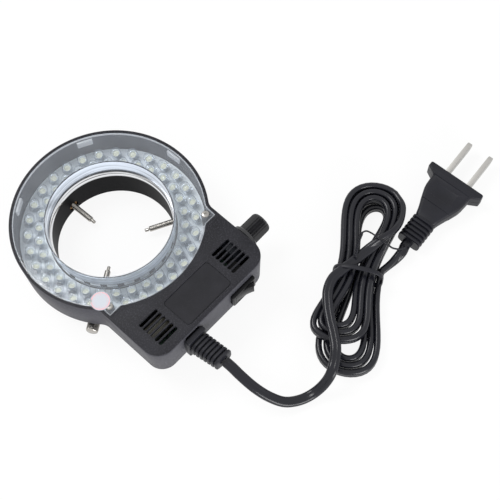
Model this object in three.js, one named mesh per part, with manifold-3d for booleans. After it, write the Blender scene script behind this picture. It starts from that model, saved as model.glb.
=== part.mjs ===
// Microscope ring light, lying on its back with its mains cord tied in a hank.
// Millimetres. The ring's axis is vertical, +X runs to the box end, +Y to the dimmer knob.
import * as THREE from 'three';
import { mergeVertices } from 'three/addons/utils/BufferGeometryUtils.js';
import Module from 'manifold-3d';

const wasm = await Module();
wasm.setup();

// Clearances
const gap = 0.3;
const snug = 0.05;
const overrun = 1;

// Ring and box, seen from above
const ringRadius = 48.5;
const boxReach = 22;
const boxEnd = ringRadius + boxReach;
const boxHalf = 36.9;
const boxCorner = 9;
const neckFillet = 5.8;
const boreRadius = 30;
const wall = 1.35;

// Heights
const collarHeight = 8.7;
const bodyHeight = 21.3;
const floorSkin = 2;
const sideDraft = 0.9;
const footEdge = 0.4;
const coverThickness = 2;
const coverEdge = 0.3;
const bodyTop = collarHeight + bodyHeight;
const trayFloor = collarHeight + floorSkin;
const coverBase = bodyTop - coverThickness;

// Clamp collar and bore
const collarWall = 5.3;
const collarRadius = boreRadius + collarWall;
const collarEdge = 0.6;
const boreTubeWall = 1.6;
const spigotWall = 3.2;
const spigotRadius = boreRadius + spigotWall;
const boreWallTop = 16.1;

// Lit tray
const boardTop = 15.5;
const boardSlack = 0.4;
const boardThickness = 1.6;
const boardInner = boreRadius + boreTubeWall + boardSlack;
const boardClearance = 1.05;
const boardRadius = ringRadius - wall - boardClearance;
const windowThickness = 1.5;
const windowLap = 1.3;
const windowInner = boreRadius + windowLap;
const windowBase = bodyTop - windowThickness;
const earEnd = 37.2;
const earScrew = { x: 33.5, y: 32.3 };
const earBossRadius = 2.05;
const sleeveSheet = 0.6;

// Rows of lamps: centre radius and the first lamp's angle in degrees
const lamp = { radius: 2.5, shoulder: 21.5, tipRadius: 1.3, top: 23.7 };
const lampsInRow = 30;
const outerRowInset = 4;
const innerRowInset = 4.8;
const lampSides = 8;
const lampRows = [
  { radius: boardRadius - outerRowInset, phase: 1.2 },
  { radius: boardInner + innerRowInset, phase: 7.2 },
];

const deg = Math.PI / 180;
const turn = 2 * Math.PI;

// Solids
function toManifold(geometry) {
  const bare = new THREE.BufferGeometry();
  bare.setAttribute('position', geometry.getAttribute('position'));
  if (geometry.index) bare.setIndex(geometry.index);
  const merged = mergeVertices(bare, 1e-5);
  const points = merged.getAttribute('position').array;
  const faces = [];
  for (let i = 0; i < merged.index.count; i += 3) {
    const [a, b, c] = [0, 1, 2].map((k) => merged.index.getX(i + k));
    if (a !== b && b !== c && c !== a) faces.push([a, b, c]);
  }
  const corner = (i) => new THREE.Vector3().fromArray(points, 3 * i);
  const volume = faces.reduce((sum, [a, b, c]) => sum + corner(a).dot(corner(b).cross(corner(c))), 0);
  const ordered = volume < 0 ? faces.map(([a, b, c]) => [a, c, b]) : faces;
  const mesh = new wasm.Mesh({
    numProp: 3,
    vertProperties: new Float32Array(points),
    triVerts: new Uint32Array(ordered.flat()),
  });
  return new wasm.Manifold(mesh);
}

function toGeometry(solid) {
  const mesh = solid.getMesh();
  const geometry = new THREE.BufferGeometry();
  geometry.setAttribute('position', new THREE.BufferAttribute(new Float32Array(mesh.vertProperties), 3));
  geometry.setIndex(new THREE.BufferAttribute(new Uint32Array(mesh.triVerts), 1));
  geometry.computeVertexNormals();
  return geometry;
}

const join = (first, ...others) => others.reduce((sum, next) => sum.add(next), first);
const cut = (first, ...others) => others.reduce((sum, next) => sum.subtract(next), first);
const common = (first, ...others) => others.reduce((sum, next) => sum.intersect(next), first);

function moved(geometry, matrix) {
  return matrix ? geometry.applyMatrix4(matrix) : geometry;
}

function block([x0, x1], [y0, y1], [z0, z1], matrix) {
  const geometry = new THREE.BoxGeometry(x1 - x0, y1 - y0, z1 - z0);
  geometry.translate((x0 + x1) / 2, (y0 + y1) / 2, (z0 + z1) / 2);
  return toManifold(moved(geometry, matrix));
}

// Solid of revolution about the vertical axis from a closed outline of [radius, height]
function spin(profile, sides, matrix) {
  const closed = [...profile, profile[0]].map(([r, z]) => new THREE.Vector2(r, z));
  const geometry = new THREE.LatheGeometry(closed, sides);
  geometry.rotateX(Math.PI / 2);
  return toManifold(moved(geometry, matrix));
}

function post(radius, [z0, z1], sides, matrix, topRadius = radius) {
  const geometry = new THREE.CylinderGeometry(topRadius, radius, z1 - z0, sides);
  geometry.rotateX(Math.PI / 2);
  geometry.translate(0, 0, (z0 + z1) / 2);
  return toManifold(moved(geometry, matrix));
}

function prism(outlinePoints, [z0, z1], matrix) {
  const shape = new THREE.Shape(outlinePoints.map(([x, y]) => new THREE.Vector2(x, y)));
  const geometry = new THREE.ExtrudeGeometry(shape, { depth: z1 - z0, bevelEnabled: false });
  geometry.translate(0, 0, z0);
  return toManifold(moved(geometry, matrix));
}

// Skin over a stack of closed rings with the same number of points, [x, y, z] each
function loftGeometry(rings, flatten = ([x, y]) => [x, y]) {
  const count = rings[0].length;
  const faces = [];
  for (let k = 0; k + 1 < rings.length; k += 1) {
    for (let i = 0; i < count; i += 1) {
      const a = k * count + i;
      const b = k * count + ((i + 1) % count);
      faces.push(a, b, b + count, a, b + count, a + count);
    }
  }
  const flat = (ring) => ring.map((point) => new THREE.Vector2(...flatten(point)));
  const last = (rings.length - 1) * count;
  THREE.ShapeUtils.triangulateShape(flat(rings[0]), []).forEach(([a, b, c]) => faces.push(a, c, b));
  THREE.ShapeUtils.triangulateShape(flat(rings.at(-1)), []).forEach(([a, b, c]) => {
    faces.push(last + a, last + b, last + c);
  });
  const geometry = new THREE.BufferGeometry();
  geometry.setAttribute('position', new THREE.Float32BufferAttribute(rings.flat(2), 3));
  geometry.setIndex(faces);
  return geometry;
}

const loft = (rings, matrix) => toManifold(moved(loftGeometry(rings), matrix));

function arc(x, y, radius, from, to, steps) {
  return Array.from({ length: steps + 1 }, (_, i) => {
    const angle = from + ((to - from) * i) / steps;
    return [x + radius * Math.cos(angle), y + radius * Math.sin(angle)];
  });
}

function roundedRectangle([x0, x1], [y0, y1], radius, steps) {
  return [
    ...arc(x1 - radius, y0 + radius, radius, -turn / 4, 0, steps),
    ...arc(x1 - radius, y1 - radius, radius, 0, turn / 4, steps),
    ...arc(x0 + radius, y1 - radius, radius, turn / 4, turn / 2, steps),
    ...arc(x0 + radius, y0 + radius, radius, turn / 2, (3 * turn) / 4, steps),
  ];
}

const slot = (x, y, halfLength, halfWidth, steps) => [
  ...arc(x, y + halfLength - halfWidth, halfWidth, 0, turn / 2, steps),
  ...arc(x, y - halfLength + halfWidth, halfWidth, turn / 2, turn, steps),
];

const at = (x, y, z) => new THREE.Matrix4().makeTranslation(x, y, z);
const about = (angle) => new THREE.Matrix4().makeRotationZ(angle);
// Lays a piece that was made along +Z along +X, or along +Y
const layAlongX = new THREE.Matrix4().makeRotationY(Math.PI / 2);
const layAlongY = new THREE.Matrix4().makeRotationX(-Math.PI / 2);
const chain = (...steps) => steps.reduce((all, next) => all.multiply(next), new THREE.Matrix4());

// Outline
// Ring and box in one line, set in by a distance; every inset has the same number of points
const arcSteps = { ring: 52, fillet: 5, corner: 7 };
const circleSides = 64;

function outline(inset) {
  const radius = ringRadius - inset;
  const half = boxHalf - inset;
  const fillet = neckFillet + inset;
  const corner = boxCorner - inset;
  const endX = boxEnd - inset - corner;
  const filletY = boxHalf + neckFillet;
  const filletX = Math.sqrt((ringRadius + neckFillet) ** 2 - filletY ** 2);
  const meet = Math.atan2(filletY, filletX);
  return [
    ...arc(endX, half - corner, corner, 0, turn / 4, arcSteps.corner),
    ...arc(filletX, filletY, fillet, (3 * turn) / 4, meet + turn / 2, arcSteps.fillet).slice(0, -1),
    ...arc(0, 0, radius, meet, turn - meet, arcSteps.ring).slice(0, -1),
    ...arc(filletX, -filletY, fillet, turn / 2 - meet, turn / 4, arcSteps.fillet),
    ...arc(endX, corner - half, corner, -turn / 4, 0, arcSteps.corner),
  ];
}

const level = (points, z) => points.map(([x, y]) => [x, y, z]);
// The sides lean in evenly from the rim to the foot
const draftAt = (z) => (sideDraft * (bodyTop - z)) / (bodyTop - collarHeight - footEdge);
const outlineSolid = (inset, [z0, z1]) => prism(outline(inset), [z0, z1]);
const leaningSolid = (inset, [z0, z1]) =>
  loft([level(outline(inset + draftAt(z0)), z0), level(outline(inset + draftAt(z1)), z1)]);

// The lit tray with its two ears, as a solid that fills it, set in by a distance
function trayFill(inset, earLimit, [z0, z1], leaning) {
  const low = leaning ? inset + draftAt(z0) : inset;
  const high = leaning ? inset + draftAt(z1) : inset;
  const ring = post(ringRadius - low, [z0, z1], circleSides, null, ringRadius - high);
  const body = leaning ? leaningSolid(inset, [z0, z1]) : outlineSolid(inset, [z0, z1]);
  const ears = common(body, block([0, earLimit], [-ringRadius, ringRadius], [z0, z1]));
  return join(ring, ears);
}

// Fittings
const clampAngles = [182, 62, -58];
const clamp = {
  height: 4.2,
  shaftRadius: 1.5,
  pointRadius: 0.85,
  pointEnd: 15,
  pointLength: 2.1,
  tailRadius: 0.5,
  tailLength: 3,
  headRadius: 3,
  headStart: 41.8,
  headEnd: 50.3,
  headEdge: 0.5,
  knurlDepth: 0.28,
};
const knurls = 16;
const insertPiece = { radius: 2.6, start: boreRadius + 2 * gap, end: collarRadius - gap };

const dialInset = 17.8;
const dial = { x: boxEnd - dialInset, z: 19.35 };
const knob = {
  radius: 5.5,
  end: 51.3,
  start: 38.1,
  skirtRadius: 7.1,
  skirtEnd: 40.5,
  flute: 0.45,
  edge: 0.7,
  socketEnd: 47.9,
  hollowRadius: 6.1,
  hollowEnd: 39.6,
};
const knobFlutes = 18;
const shaft = { radius: 3, start: 28.5 };
const dialBody = { radius: 7, length: 8.6 };
const bushing = { radius: 3.5, end: 39.3 };
const nut = { radius: 5.4, thickness: 1.9 };
const washer = { radius: 5.9, thickness: 0.5 };

const rockerInset = 1.5;
const rocker = {
  y: 18.2,
  z: 19.35,
  pivotX: boxEnd - rockerInset,
  topHalf: 5.25,
  topReach: 4.18,
  midReach: 3.06,
  sideHalf: 5.87,
  sideReach: 1.25,
  keelHalf: 3.4,
  keelDepth: 2.2,
  halfHeight: 3.15,
  axleRadius: 0.8,
  axleReach: 0.8,
};
const rockerTilt = 12 * deg;
const bezelStand = 1.7;
const bezel = { halfLength: 7.6, halfHeight: 4.85, face: boxEnd + bezelStand, edge: 0.5, corner: 0.8 };
const switchCase = { wall: 1.1, depth: 11.5, floor: 4.4 };

const reliefReach = 18.5;
const reliefBlock = 3.1;
const relief = {
  y: -15.1,
  z: 19.35,
  exitX: boxEnd + reliefReach,
  exitY: -13.3,
  halfWidth: 5.85,
  halfHeight: 7.3,
  neckHalf: 4.1,
  neckHalfHeight: 4.8,
  blockEnd: boxEnd + reliefBlock,
  ribStart: boxEnd + reliefBlock + 2 * gap,
  ribHalf: 5.5,
  endHalf: 5,
  grooveDepth: 1.1,
  innerFlange: 2.4,
};
const reliefRibs = 7;

const ventInset = 19.2;
const vent = { x: boxEnd - ventInset, pitch: 2.56, y: 24.2, halfLength: 5.6, halfWidth: 0.85 };
const ventSlots = 6;
const panelInset = { start: 19.5, end: 2.5 };
const panel = { start: boxEnd - panelInset.start, end: boxEnd - panelInset.end, half: 14.7, corner: 2, depth: 0.3 };
const seal = { x: 28.8, y: -33.3, radius: 4.7, thickness: 0.2, tear: 0.8 };
const wireNotch = { half: 3, height: 2.8 };
const lip = { depth: 1.2, thickness: 1 };
const stopInset = 0.95;
const stop = { halfWidth: 4, reach: 4.1, outer: ringRadius - wall - stopInset, thickness: 1.2 };
const stopAngles = [152, 92, 32, -28, -88, -147];

const driverInset = { start: 20.3, end: 2.9 };
const driver = { start: boxEnd - driverInset.start, end: boxEnd - driverInset.end, low: -31, high: 24.8, base: 12.7, thickness: 1.6 };
const driverPost = { radius: 1.8, inset: 3 };

// Materials
const finish = (color, roughness, metalness, more = {}) =>
  new THREE.MeshStandardMaterial({ color, roughness, metalness, ...more });

const materials = {
  shell: finish('#3b3c3f', 0.62, 0),
  clear: finish('#e9eef2', 0.08, 0, { transparent: true, opacity: 0.3 }),
  chrome: finish('#d5d8dc', 0.12, 1),
  lamps: finish('#dfe6ea', 0.35, 0),
  steel: finish('#c6c4be', 0.25, 1),
  brass: finish('#b98a4b', 0.35, 1),
  knob: finish('#242528', 0.5, 0),
  gloss: finish('#1c1c1f', 0.25, 0),
  rubber: finish('#2a2b2e', 0.7, 0),
  cord: finish('#34363a', 0.5, 0),
  paper: finish('#f4f1f1', 0.7, 0),
  green: finish('#1f5a3a', 0.5, 0),
  component: finish('#c9b98a', 0.5, 0),
  can: finish('#2b3440', 0.4, 0),
};

const group = new THREE.Group();

function add(name, solid, material) {
  const geometry = solid.isBufferGeometry ? solid : toGeometry(solid);
  const mesh = new THREE.Mesh(geometry, materials[material]);
  mesh.name = name;
  group.add(mesh);
  return mesh;
}

// Housing
const radial = (angle) => chain(about(angle * deg), at(0, 0, clamp.height), layAlongX);
const insideWallY = boxHalf - draftAt(dial.z - dialBody.radius) - wall;
const outsideWallY = boxHalf - draftAt(dial.z + washer.radius);
const outsideWallX = boxEnd - draftAt(rocker.z);
const alongKnob = chain(at(dial.x, 0, dial.z), layAlongY);

function housingShell() {
  const foot = collarHeight + footEdge;
  const skin = loft([
    level(outline(sideDraft + footEdge), collarHeight),
    level(outline(sideDraft), foot),
    level(outline(0), bodyTop),
  ]);
  return skin;
}

// The clamp collar hangs under the body and lines the bore up to the sleeve
function clampCollar() {
  const ring = spin([
    [boreRadius + collarEdge / 2, 0],
    [collarRadius - collarEdge, 0],
    [collarRadius, collarEdge],
    [collarRadius, collarHeight],
    [spigotRadius, collarHeight],
    [spigotRadius, trayFloor],
    [boreRadius + boreTubeWall, trayFloor],
    [boreRadius + boreTubeWall, boreWallTop],
    [boreRadius, boreWallTop],
    [boreRadius, collarEdge / 2],
  ], circleSides);
  const holes = clampAngles.map((angle) =>
    post(insertPiece.radius + gap, [boreRadius - overrun, collarRadius + overrun], 16, radial(angle)));
  return cut(ring, ...holes);
}

function trayHollow() {
  const fill = trayFill(wall, earEnd + gap, [trayFloor, bodyTop + overrun], true);
  const bosses = [earScrew.y, -earScrew.y].map((y) =>
    post(earBossRadius, [trayFloor - overrun, windowBase], 20, at(earScrew.x, y, 0)));
  const supports = stopAngles.map((angle) =>
    post(driverPost.radius, [trayFloor - overrun, boardTop - boardThickness], 12,
      chain(about(angle * deg), at((boardInner + boardRadius) / 2, 0, 0))));
  return cut(fill, ...bosses, ...supports);
}

function boxHollow() {
  const fill = leaningSolid(wall, [trayFloor, bodyTop + overrun]);
  const trayWall = trayFill(0, earEnd + gap + wall, [trayFloor - overrun, bodyTop + 2 * overrun], false);
  const posts = driverCorners().map(([x, y]) =>
    post(driverPost.radius, [trayFloor - overrun, driver.base], 12, at(x, y, 0)));
  return cut(fill, trayWall, ...posts);
}

function driverCorners() {
  const near = driver.start + driverPost.inset;
  const far = driver.end - driverPost.inset;
  const low = driver.low + driverPost.inset;
  const high = driver.high - driverPost.inset;
  return [[near, low], [far, low], [near, high], [far, high]];
}

// Room for the lid: all of the box outside the tray's wall
function lidRoom(extra) {
  const span = [coverBase, bodyTop + overrun];
  const slab = block([0, boxEnd + overrun], [-boxHalf - overrun, boxHalf + overrun], span);
  return cut(slab, trayFill(extra, earEnd + gap + wall - extra, [coverBase - overrun, bodyTop + 2 * overrun], false));
}

function rearHousing() {
  const bore = post(spigotRadius + gap, [-overrun, trayFloor + overrun], circleSides);
  const screwHoles = [earScrew.y, -earScrew.y].map((y) =>
    post(coverScrew.radius + gap, [windowBase - coverScrew.length, bodyTop + overrun], 12, at(earScrew.x, y, 0)));
  const dialHole = post(bushing.radius + gap, [insideWallY - overrun, boxHalf + overrun], 24, alongKnob);
  const switchHole = block(
    [outsideWallX - wall - overrun - draftAt(rocker.z), boxEnd + overrun],
    [rocker.y - caseHalfLength - gap, rocker.y + caseHalfLength + gap],
    [rocker.z - caseHalfHeight - gap, rocker.z + caseHalfHeight + gap],
  );
  const cordNotch = block(
    [outsideWallX - wall - overrun - draftAt(rocker.z), boxEnd + overrun],
    [relief.y - relief.neckHalf - gap, relief.y + relief.neckHalf + gap],
    [relief.z - relief.neckHalfHeight - gap, bodyTop + overrun],
  );
  const notch = block(
    [ringRadius - wall - overrun - sideDraft, ringRadius + overrun],
    [-wireNotch.half, wireNotch.half],
    [trayFloor, trayFloor + wireNotch.height],
  );
  return cut(housingShell(), trayHollow(), boxHollow(), lidRoom(0), bore, notch,
    ...screwHoles, dialHole, switchHole, cordNotch);
}

// Box lid
function boxCover() {
  const edge = bodyTop - coverEdge;
  const plate = loft([
    level(outline(0), coverBase),
    level(outline(0), edge),
    level(outline(coverEdge), bodyTop),
  ]);
  const rim = cut(
    outlineSolid(wall + draftAt(coverBase - lip.depth) + gap, [coverBase - lip.depth, coverBase + snug]),
    outlineSolid(wall + gap + lip.thickness + sideDraft, [coverBase - lip.depth - overrun, coverBase + overrun]),
    trayFill(-gap, earEnd + gap + wall + gap, [coverBase - lip.depth - overrun, coverBase + overrun], false),
    block([outsideWallX - wall - lip.thickness - overrun, boxEnd],
      [relief.y - relief.halfWidth - gap, relief.y + relief.halfWidth + gap],
      [coverBase - lip.depth - overrun, coverBase]),
  );
  const tray = trayFill(-gap, earEnd + gap + wall + gap, [coverBase - overrun, bodyTop + overrun], false);
  const slots = [];
  for (let i = 0; i < ventSlots; i += 1) {
    for (const side of [1, -1]) {
      const x = vent.x + i * vent.pitch;
      slots.push(prism(slot(x, side * vent.y, vent.halfLength, vent.halfWidth, 4),
        [coverBase - overrun, bodyTop + overrun]));
    }
  }
  const recess = prism(
    roundedRectangle([panel.start, panel.end], [-panel.half, panel.half], panel.corner, 4),
    [bodyTop - panel.depth, bodyTop + overrun],
  );
  return cut(join(plate, rim), tray, recess, ...slots);
}

// Window
const coverScrew = { headRadius: 1.95, headThickness: 0.95, radius: 1, length: 6.5, recessRadius: 0.9, recess: 0.5 };
const counterboreFloor = bodyTop - snug - coverScrew.headThickness;

function clearCover() {
  const plate = trayFill(wall + gap, earEnd, [windowBase, bodyTop], false);
  const opening = post(windowInner, [windowBase - overrun, bodyTop + overrun], circleSides);
  const stops = stopAngles.map((angle) => block(
    [stop.outer - stop.thickness, stop.outer],
    [-stop.halfWidth, stop.halfWidth],
    [windowBase - stop.reach, windowBase + snug],
    about(angle * deg),
  ));
  const holes = [earScrew.y, -earScrew.y].flatMap((y) => [
    post(coverScrew.radius + gap, [windowBase - overrun, bodyTop], 16, at(earScrew.x, y, 0)),
    post(coverScrew.headRadius + gap, [counterboreFloor, bodyTop + overrun], 16, at(earScrew.x, y, 0)),
  ]);
  return cut(join(plate, ...stops), opening, ...holes);
}

function screwThroughEar(y) {
  const head = post(coverScrew.headRadius, [counterboreFloor, counterboreFloor + coverScrew.headThickness], 16);
  const shank = post(coverScrew.radius, [windowBase - coverScrew.length + gap, counterboreFloor + snug], 12);
  const headTop = counterboreFloor + coverScrew.headThickness;
  const arm = coverScrew.recessRadius;
  const width = coverScrew.recess / 2;
  const cross = join(
    block([-arm, arm], [-width, width], [headTop - coverScrew.recess, headTop + overrun]),
    block([-width, width], [-arm, arm], [headTop - coverScrew.recess, headTop + overrun]),
  );
  return placed(cut(join(head, shank), cross), at(earScrew.x, y, 0));
}

function placed(solid, matrix) {
  return toManifold(toGeometry(solid).applyMatrix4(matrix));
}

function sealSticker() {
  const disc = arc(seal.x, seal.y, seal.radius, 0, turn, 32).slice(0, -1);
  const torn = arc(seal.x + seal.radius * Math.cos(-2.4), seal.y + seal.radius * Math.sin(-2.4),
    seal.tear, 0, turn, 8).slice(0, -1);
  return cut(
    prism(disc, [bodyTop, bodyTop + seal.thickness]),
    prism(torn, [bodyTop - overrun, bodyTop + overrun]),
  );
}

// Light source
function reflectorSleeve() {
  return spin([
    [boreRadius, boreWallTop],
    [boreRadius + boreTubeWall, boreWallTop],
    [boreRadius + boreTubeWall, boreWallTop + sleeveSheet],
    [boreRadius + sleeveSheet + snug, boreWallTop + sleeveSheet],
    [windowInner + sleeveSheet, windowBase],
    [windowInner, windowBase],
  ], circleSides);
}

function ledBoard() {
  const board = cut(
    post(boardRadius, [boardTop - boardThickness, boardTop], circleSides),
    post(boardInner, [-overrun, bodyTop], circleSides),
    ...[earScrew.y, -earScrew.y].map((y) =>
      post(earBossRadius + gap, [-overrun, bodyTop], 12, at(earScrew.x, y, 0))),
  );
  const profile = [
    [0, boardTop - snug],
    [lamp.radius, boardTop - snug],
    [lamp.radius, lamp.shoulder],
    [lamp.tipRadius, lamp.top],
    [0, lamp.top],
  ];
  const lamps = lampRows.flatMap(({ radius, phase }) =>
    Array.from({ length: lampsInRow }, (_, i) => {
      const angle = (phase + (i * 360) / lampsInRow) * deg;
      return spin(profile, lampSides, chain(about(angle), at(radius, 0, 0)));
    }));
  return join(board, ...lamps);
}

// Clamp screws
function starRing(radius, depth, teeth, z) {
  return Array.from({ length: 2 * teeth }, (_, i) => {
    const angle = (i * turn) / (2 * teeth);
    const reach = i % 2 ? radius : radius - depth;
    return [reach * Math.cos(angle), reach * Math.sin(angle), z];
  });
}

function thumbscrew(angle) {
  const head = loft([
    starRing(clamp.headRadius - clamp.headEdge, 0, knurls, clamp.headStart),
    starRing(clamp.headRadius, clamp.knurlDepth, knurls, clamp.headStart + clamp.headEdge),
    starRing(clamp.headRadius, clamp.knurlDepth, knurls, clamp.headEnd - clamp.headEdge),
    starRing(clamp.headRadius - clamp.headEdge, 0, knurls, clamp.headEnd),
  ]);
  const shoulder = clamp.pointEnd + clamp.pointLength + gap;
  const stem = cut(
    post(clamp.shaftRadius, [shoulder, clamp.headStart + snug], 16),
    post(clamp.tailRadius + gap, [shoulder - overrun, shoulder + clamp.tailLength], 12),
  );
  return placed(join(head, stem), radial(angle));
}

function screwPoint(angle) {
  const tipEnd = clamp.pointEnd + clamp.pointLength;
  const tip = post(clamp.pointRadius, [clamp.pointEnd, tipEnd], 12);
  const tail = post(clamp.tailRadius, [tipEnd - snug, tipEnd + clamp.tailLength], 12);
  return placed(join(tip, tail), radial(angle));
}

function screwInsert(angle) {
  return spin([
    [clamp.shaftRadius + gap, insertPiece.start],
    [insertPiece.radius, insertPiece.start],
    [insertPiece.radius, insertPiece.end],
    [clamp.shaftRadius + gap, insertPiece.end],
  ], 16, radial(angle));
}

// Dimmer
function dimmerKnob() {
  const ring = (radius, y) => starRing(radius, 0, knobFlutes, y);
  const grip = loft([
    starRing(knob.radius, knob.flute, knobFlutes, knob.skirtEnd - snug),
    starRing(knob.radius, knob.flute, knobFlutes, knob.end - knob.edge),
    starRing(knob.radius - knob.edge, 0, knobFlutes, knob.end),
  ]);
  const skirt = loft([
    ring(knob.skirtRadius, knob.start),
    ring(knob.skirtRadius, knob.skirtEnd - knob.edge),
    ring(knob.skirtRadius - knob.edge, knob.skirtEnd),
  ]);
  const socket = post(shaft.radius + gap, [knob.start - overrun, knob.socketEnd], 20);
  const hollow = post(knob.hollowRadius, [knob.start - overrun, knob.hollowEnd], 24);
  return placed(cut(join(grip, skirt), socket, hollow), alongKnob);
}

function dialShaft() {
  return post(shaft.radius, [shaft.start, knob.socketEnd], 16, alongKnob);
}

function potentiometer() {
  const start = insideWallY - snug - dialBody.length;
  const can = post(dialBody.radius, [start, insideWallY - snug], 24);
  const neck = post(bushing.radius, [insideWallY - 2 * snug, bushing.end], 20);
  const hole = post(shaft.radius + gap, [shaft.start - gap, bushing.end + overrun], 20);
  return placed(cut(join(can, neck), hole), alongKnob);
}

function dialNut() {
  const start = outsideWallY + snug + washer.thickness;
  return cut(
    post(nut.radius, [start, start + nut.thickness], 6, alongKnob),
    post(bushing.radius + gap, [0, boxEnd], 20, alongKnob),
  );
}

function dialWasher() {
  return cut(
    post(washer.radius, [outsideWallY + snug, outsideWallY + snug + washer.thickness], 24, alongKnob),
    post(bushing.radius + gap, [0, boxEnd], 20, alongKnob),
  );
}

// Switch
const windowHalfLength = rocker.sideHalf + gap;
const windowHalfHeight = rocker.halfHeight + gap;
const caseHalfLength = windowHalfLength + switchCase.wall;
const caseHalfHeight = windowHalfHeight + switchCase.wall;

function switchBody() {
  const span = (half) => [rocker.y - half, rocker.y + half];
  const rise = (half) => [rocker.z - half, rocker.z + half];
  const flangeStart = boxEnd + snug;
  const shell = block([rocker.pivotX - switchCase.depth, flangeStart + snug],
    span(caseHalfLength), rise(caseHalfHeight));
  // Made standing, then laid so that its thickness points out of the end wall
  const standing = new THREE.Matrix4().makeBasis(
    new THREE.Vector3(0, 1, 0), new THREE.Vector3(0, 0, 1), new THREE.Vector3(1, 0, 0));
  const rim = (inset, x) => level(roundedRectangle(
    [inset - bezel.halfLength, bezel.halfLength - inset],
    [inset - bezel.halfHeight, bezel.halfHeight - inset], bezel.corner, 3), x);
  const flange = loft([
    rim(0, flangeStart),
    rim(0, bezel.face - bezel.edge),
    rim(bezel.edge, bezel.face),
  ], chain(at(0, rocker.y, rocker.z), standing));
  const window = block([rocker.pivotX - switchCase.floor, bezel.face + overrun],
    span(windowHalfLength), rise(windowHalfHeight));
  const axles = post(rocker.axleRadius + gap,
    rise(windowHalfHeight + rocker.axleReach), 12, at(rocker.pivotX, rocker.y, 0));
  return cut(join(shell, flange), window, axles);
}

function switchRocker() {
  const keel = -rocker.keelDepth;
  const profile = [
    [rocker.midReach, 0],
    [rocker.topReach, -rocker.topHalf],
    [rocker.sideReach, -rocker.sideHalf],
    [keel, -rocker.keelHalf],
    [keel, rocker.keelHalf],
    [rocker.sideReach, rocker.sideHalf],
    [rocker.topReach, rocker.topHalf],
  ].reverse();
  const place = chain(at(rocker.pivotX, rocker.y, rocker.z), about(-rockerTilt));
  return join(
    prism(profile, [-rocker.halfHeight, rocker.halfHeight], place),
    post(rocker.axleRadius, [-rocker.halfHeight - rocker.axleReach, rocker.halfHeight + rocker.axleReach], 12, place),
  );
}

// Strain relief
// Ring of a rounded block across the cord: x along it, y and z across
function crossRing(x, y, z, halfWidth, halfHeight, round, steps = 3) {
  const corner = round * Math.min(halfWidth, halfHeight);
  return roundedRectangle([-halfWidth, halfWidth], [-halfHeight, halfHeight], corner, steps)
    .map(([across, up]) => [x, y + across, z + up]);
}

const loftAcross = (rings) => toManifold(loftGeometry(rings, ([, y, z]) => [y, z]));

function strainRelief() {
  const insideFace = outsideWallX - wall - draftAt(relief.z) / 2;
  const inner = loftAcross([
    crossRing(insideFace - gap - relief.innerFlange, relief.y, relief.z, relief.halfWidth, relief.neckHalfHeight, 0.2),
    crossRing(insideFace - gap, relief.y, relief.z, relief.halfWidth, relief.neckHalfHeight, 0.2),
  ]);
  const neck = loftAcross([
    crossRing(insideFace - gap - snug, relief.y, relief.z, relief.neckHalf, relief.neckHalfHeight, 0.1),
    crossRing(boxEnd + gap + snug, relief.y, relief.z, relief.neckHalf, relief.neckHalfHeight, 0.1),
  ]);
  const outer = loftAcross([
    crossRing(boxEnd + gap, relief.y, relief.z, relief.halfWidth, relief.halfHeight, 0.2),
    crossRing(relief.blockEnd, relief.y, relief.z, relief.halfWidth, relief.halfHeight, 0.2),
  ]);
  const length = relief.exitX - relief.ribStart;
  const pitch = length / reliefRibs;
  const rings = [];
  const addRing = (x, depth) => {
    const share = (x - relief.blockEnd) / (relief.exitX - relief.blockEnd);
    const half = relief.ribHalf + (relief.endHalf - relief.ribHalf) * share - depth;
    const y = relief.y + (relief.exitY - relief.y) * share;
    rings.push(crossRing(x, y, relief.z, half, half, 0.6));
  };
  addRing(relief.blockEnd - snug, relief.grooveDepth);
  for (let i = 0; i < reliefRibs; i += 1) {
    const x = relief.ribStart + i * pitch;
    addRing(x, relief.grooveDepth);
    addRing(x + pitch * 0.15, 0);
    addRing(x + pitch * 0.65, 0);
    addRing(x + pitch * 0.8, relief.grooveDepth);
  }
  return join(inner, neck, outer, loftAcross(rings));
}

// Driver board
const driverTop = driver.base + driver.thickness;
const inputCapacitor = { along: 5.2, y: -23, halfX: 3.4, halfY: 6.2, height: 9.6 };
const smoothingCapacitor = { along: 8.8, y: -7.5, radius: 5, height: 11.5 };
const choke = { along: 8.3, y: 4.5, radius: 4, height: 8 };
const rectifier = { along: 12.4, y: -21, halfX: 2.3, halfY: 2.9, height: 2.6 };
const transistor = { along: 3.4, y: 16.4, halfX: 2.3, halfY: 3.8, height: 9.6 };

const onDriver = ({ along, y, halfX, halfY, height }) =>
  block([driver.start + along - halfX, driver.start + along + halfX], [y - halfY, y + halfY], [driverTop, driverTop + height]);
const canOnDriver = ({ along, y, radius, height }) =>
  post(radius, [driverTop, driverTop + height], 20, at(driver.start + along, y, 0));

// Cord
const cord = { halfThickness: 1.6, halfHeight: 2.6 };
const tie = { thickness: 0.9, halfWidth: 2.4, footRound: 2.5, crownRound: 2.4 };
const hank = {
  x: 104,
  y: 65.4,
  halfLength: 50,
  halfWaist: 11.95,
  halfLobe: 16.9,
  pitch: 3.72,
  layer: 5.8,
};
const hankAngle = 119.5 * deg;
const hankLoops = 6;
const hankStart = 0.2;
const stepsInLoop = 24;
const lobeShare = 0.65;
const lowerSwell = 0.03;
const hankBase = tie.thickness + gap + cord.halfHeight;

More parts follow.
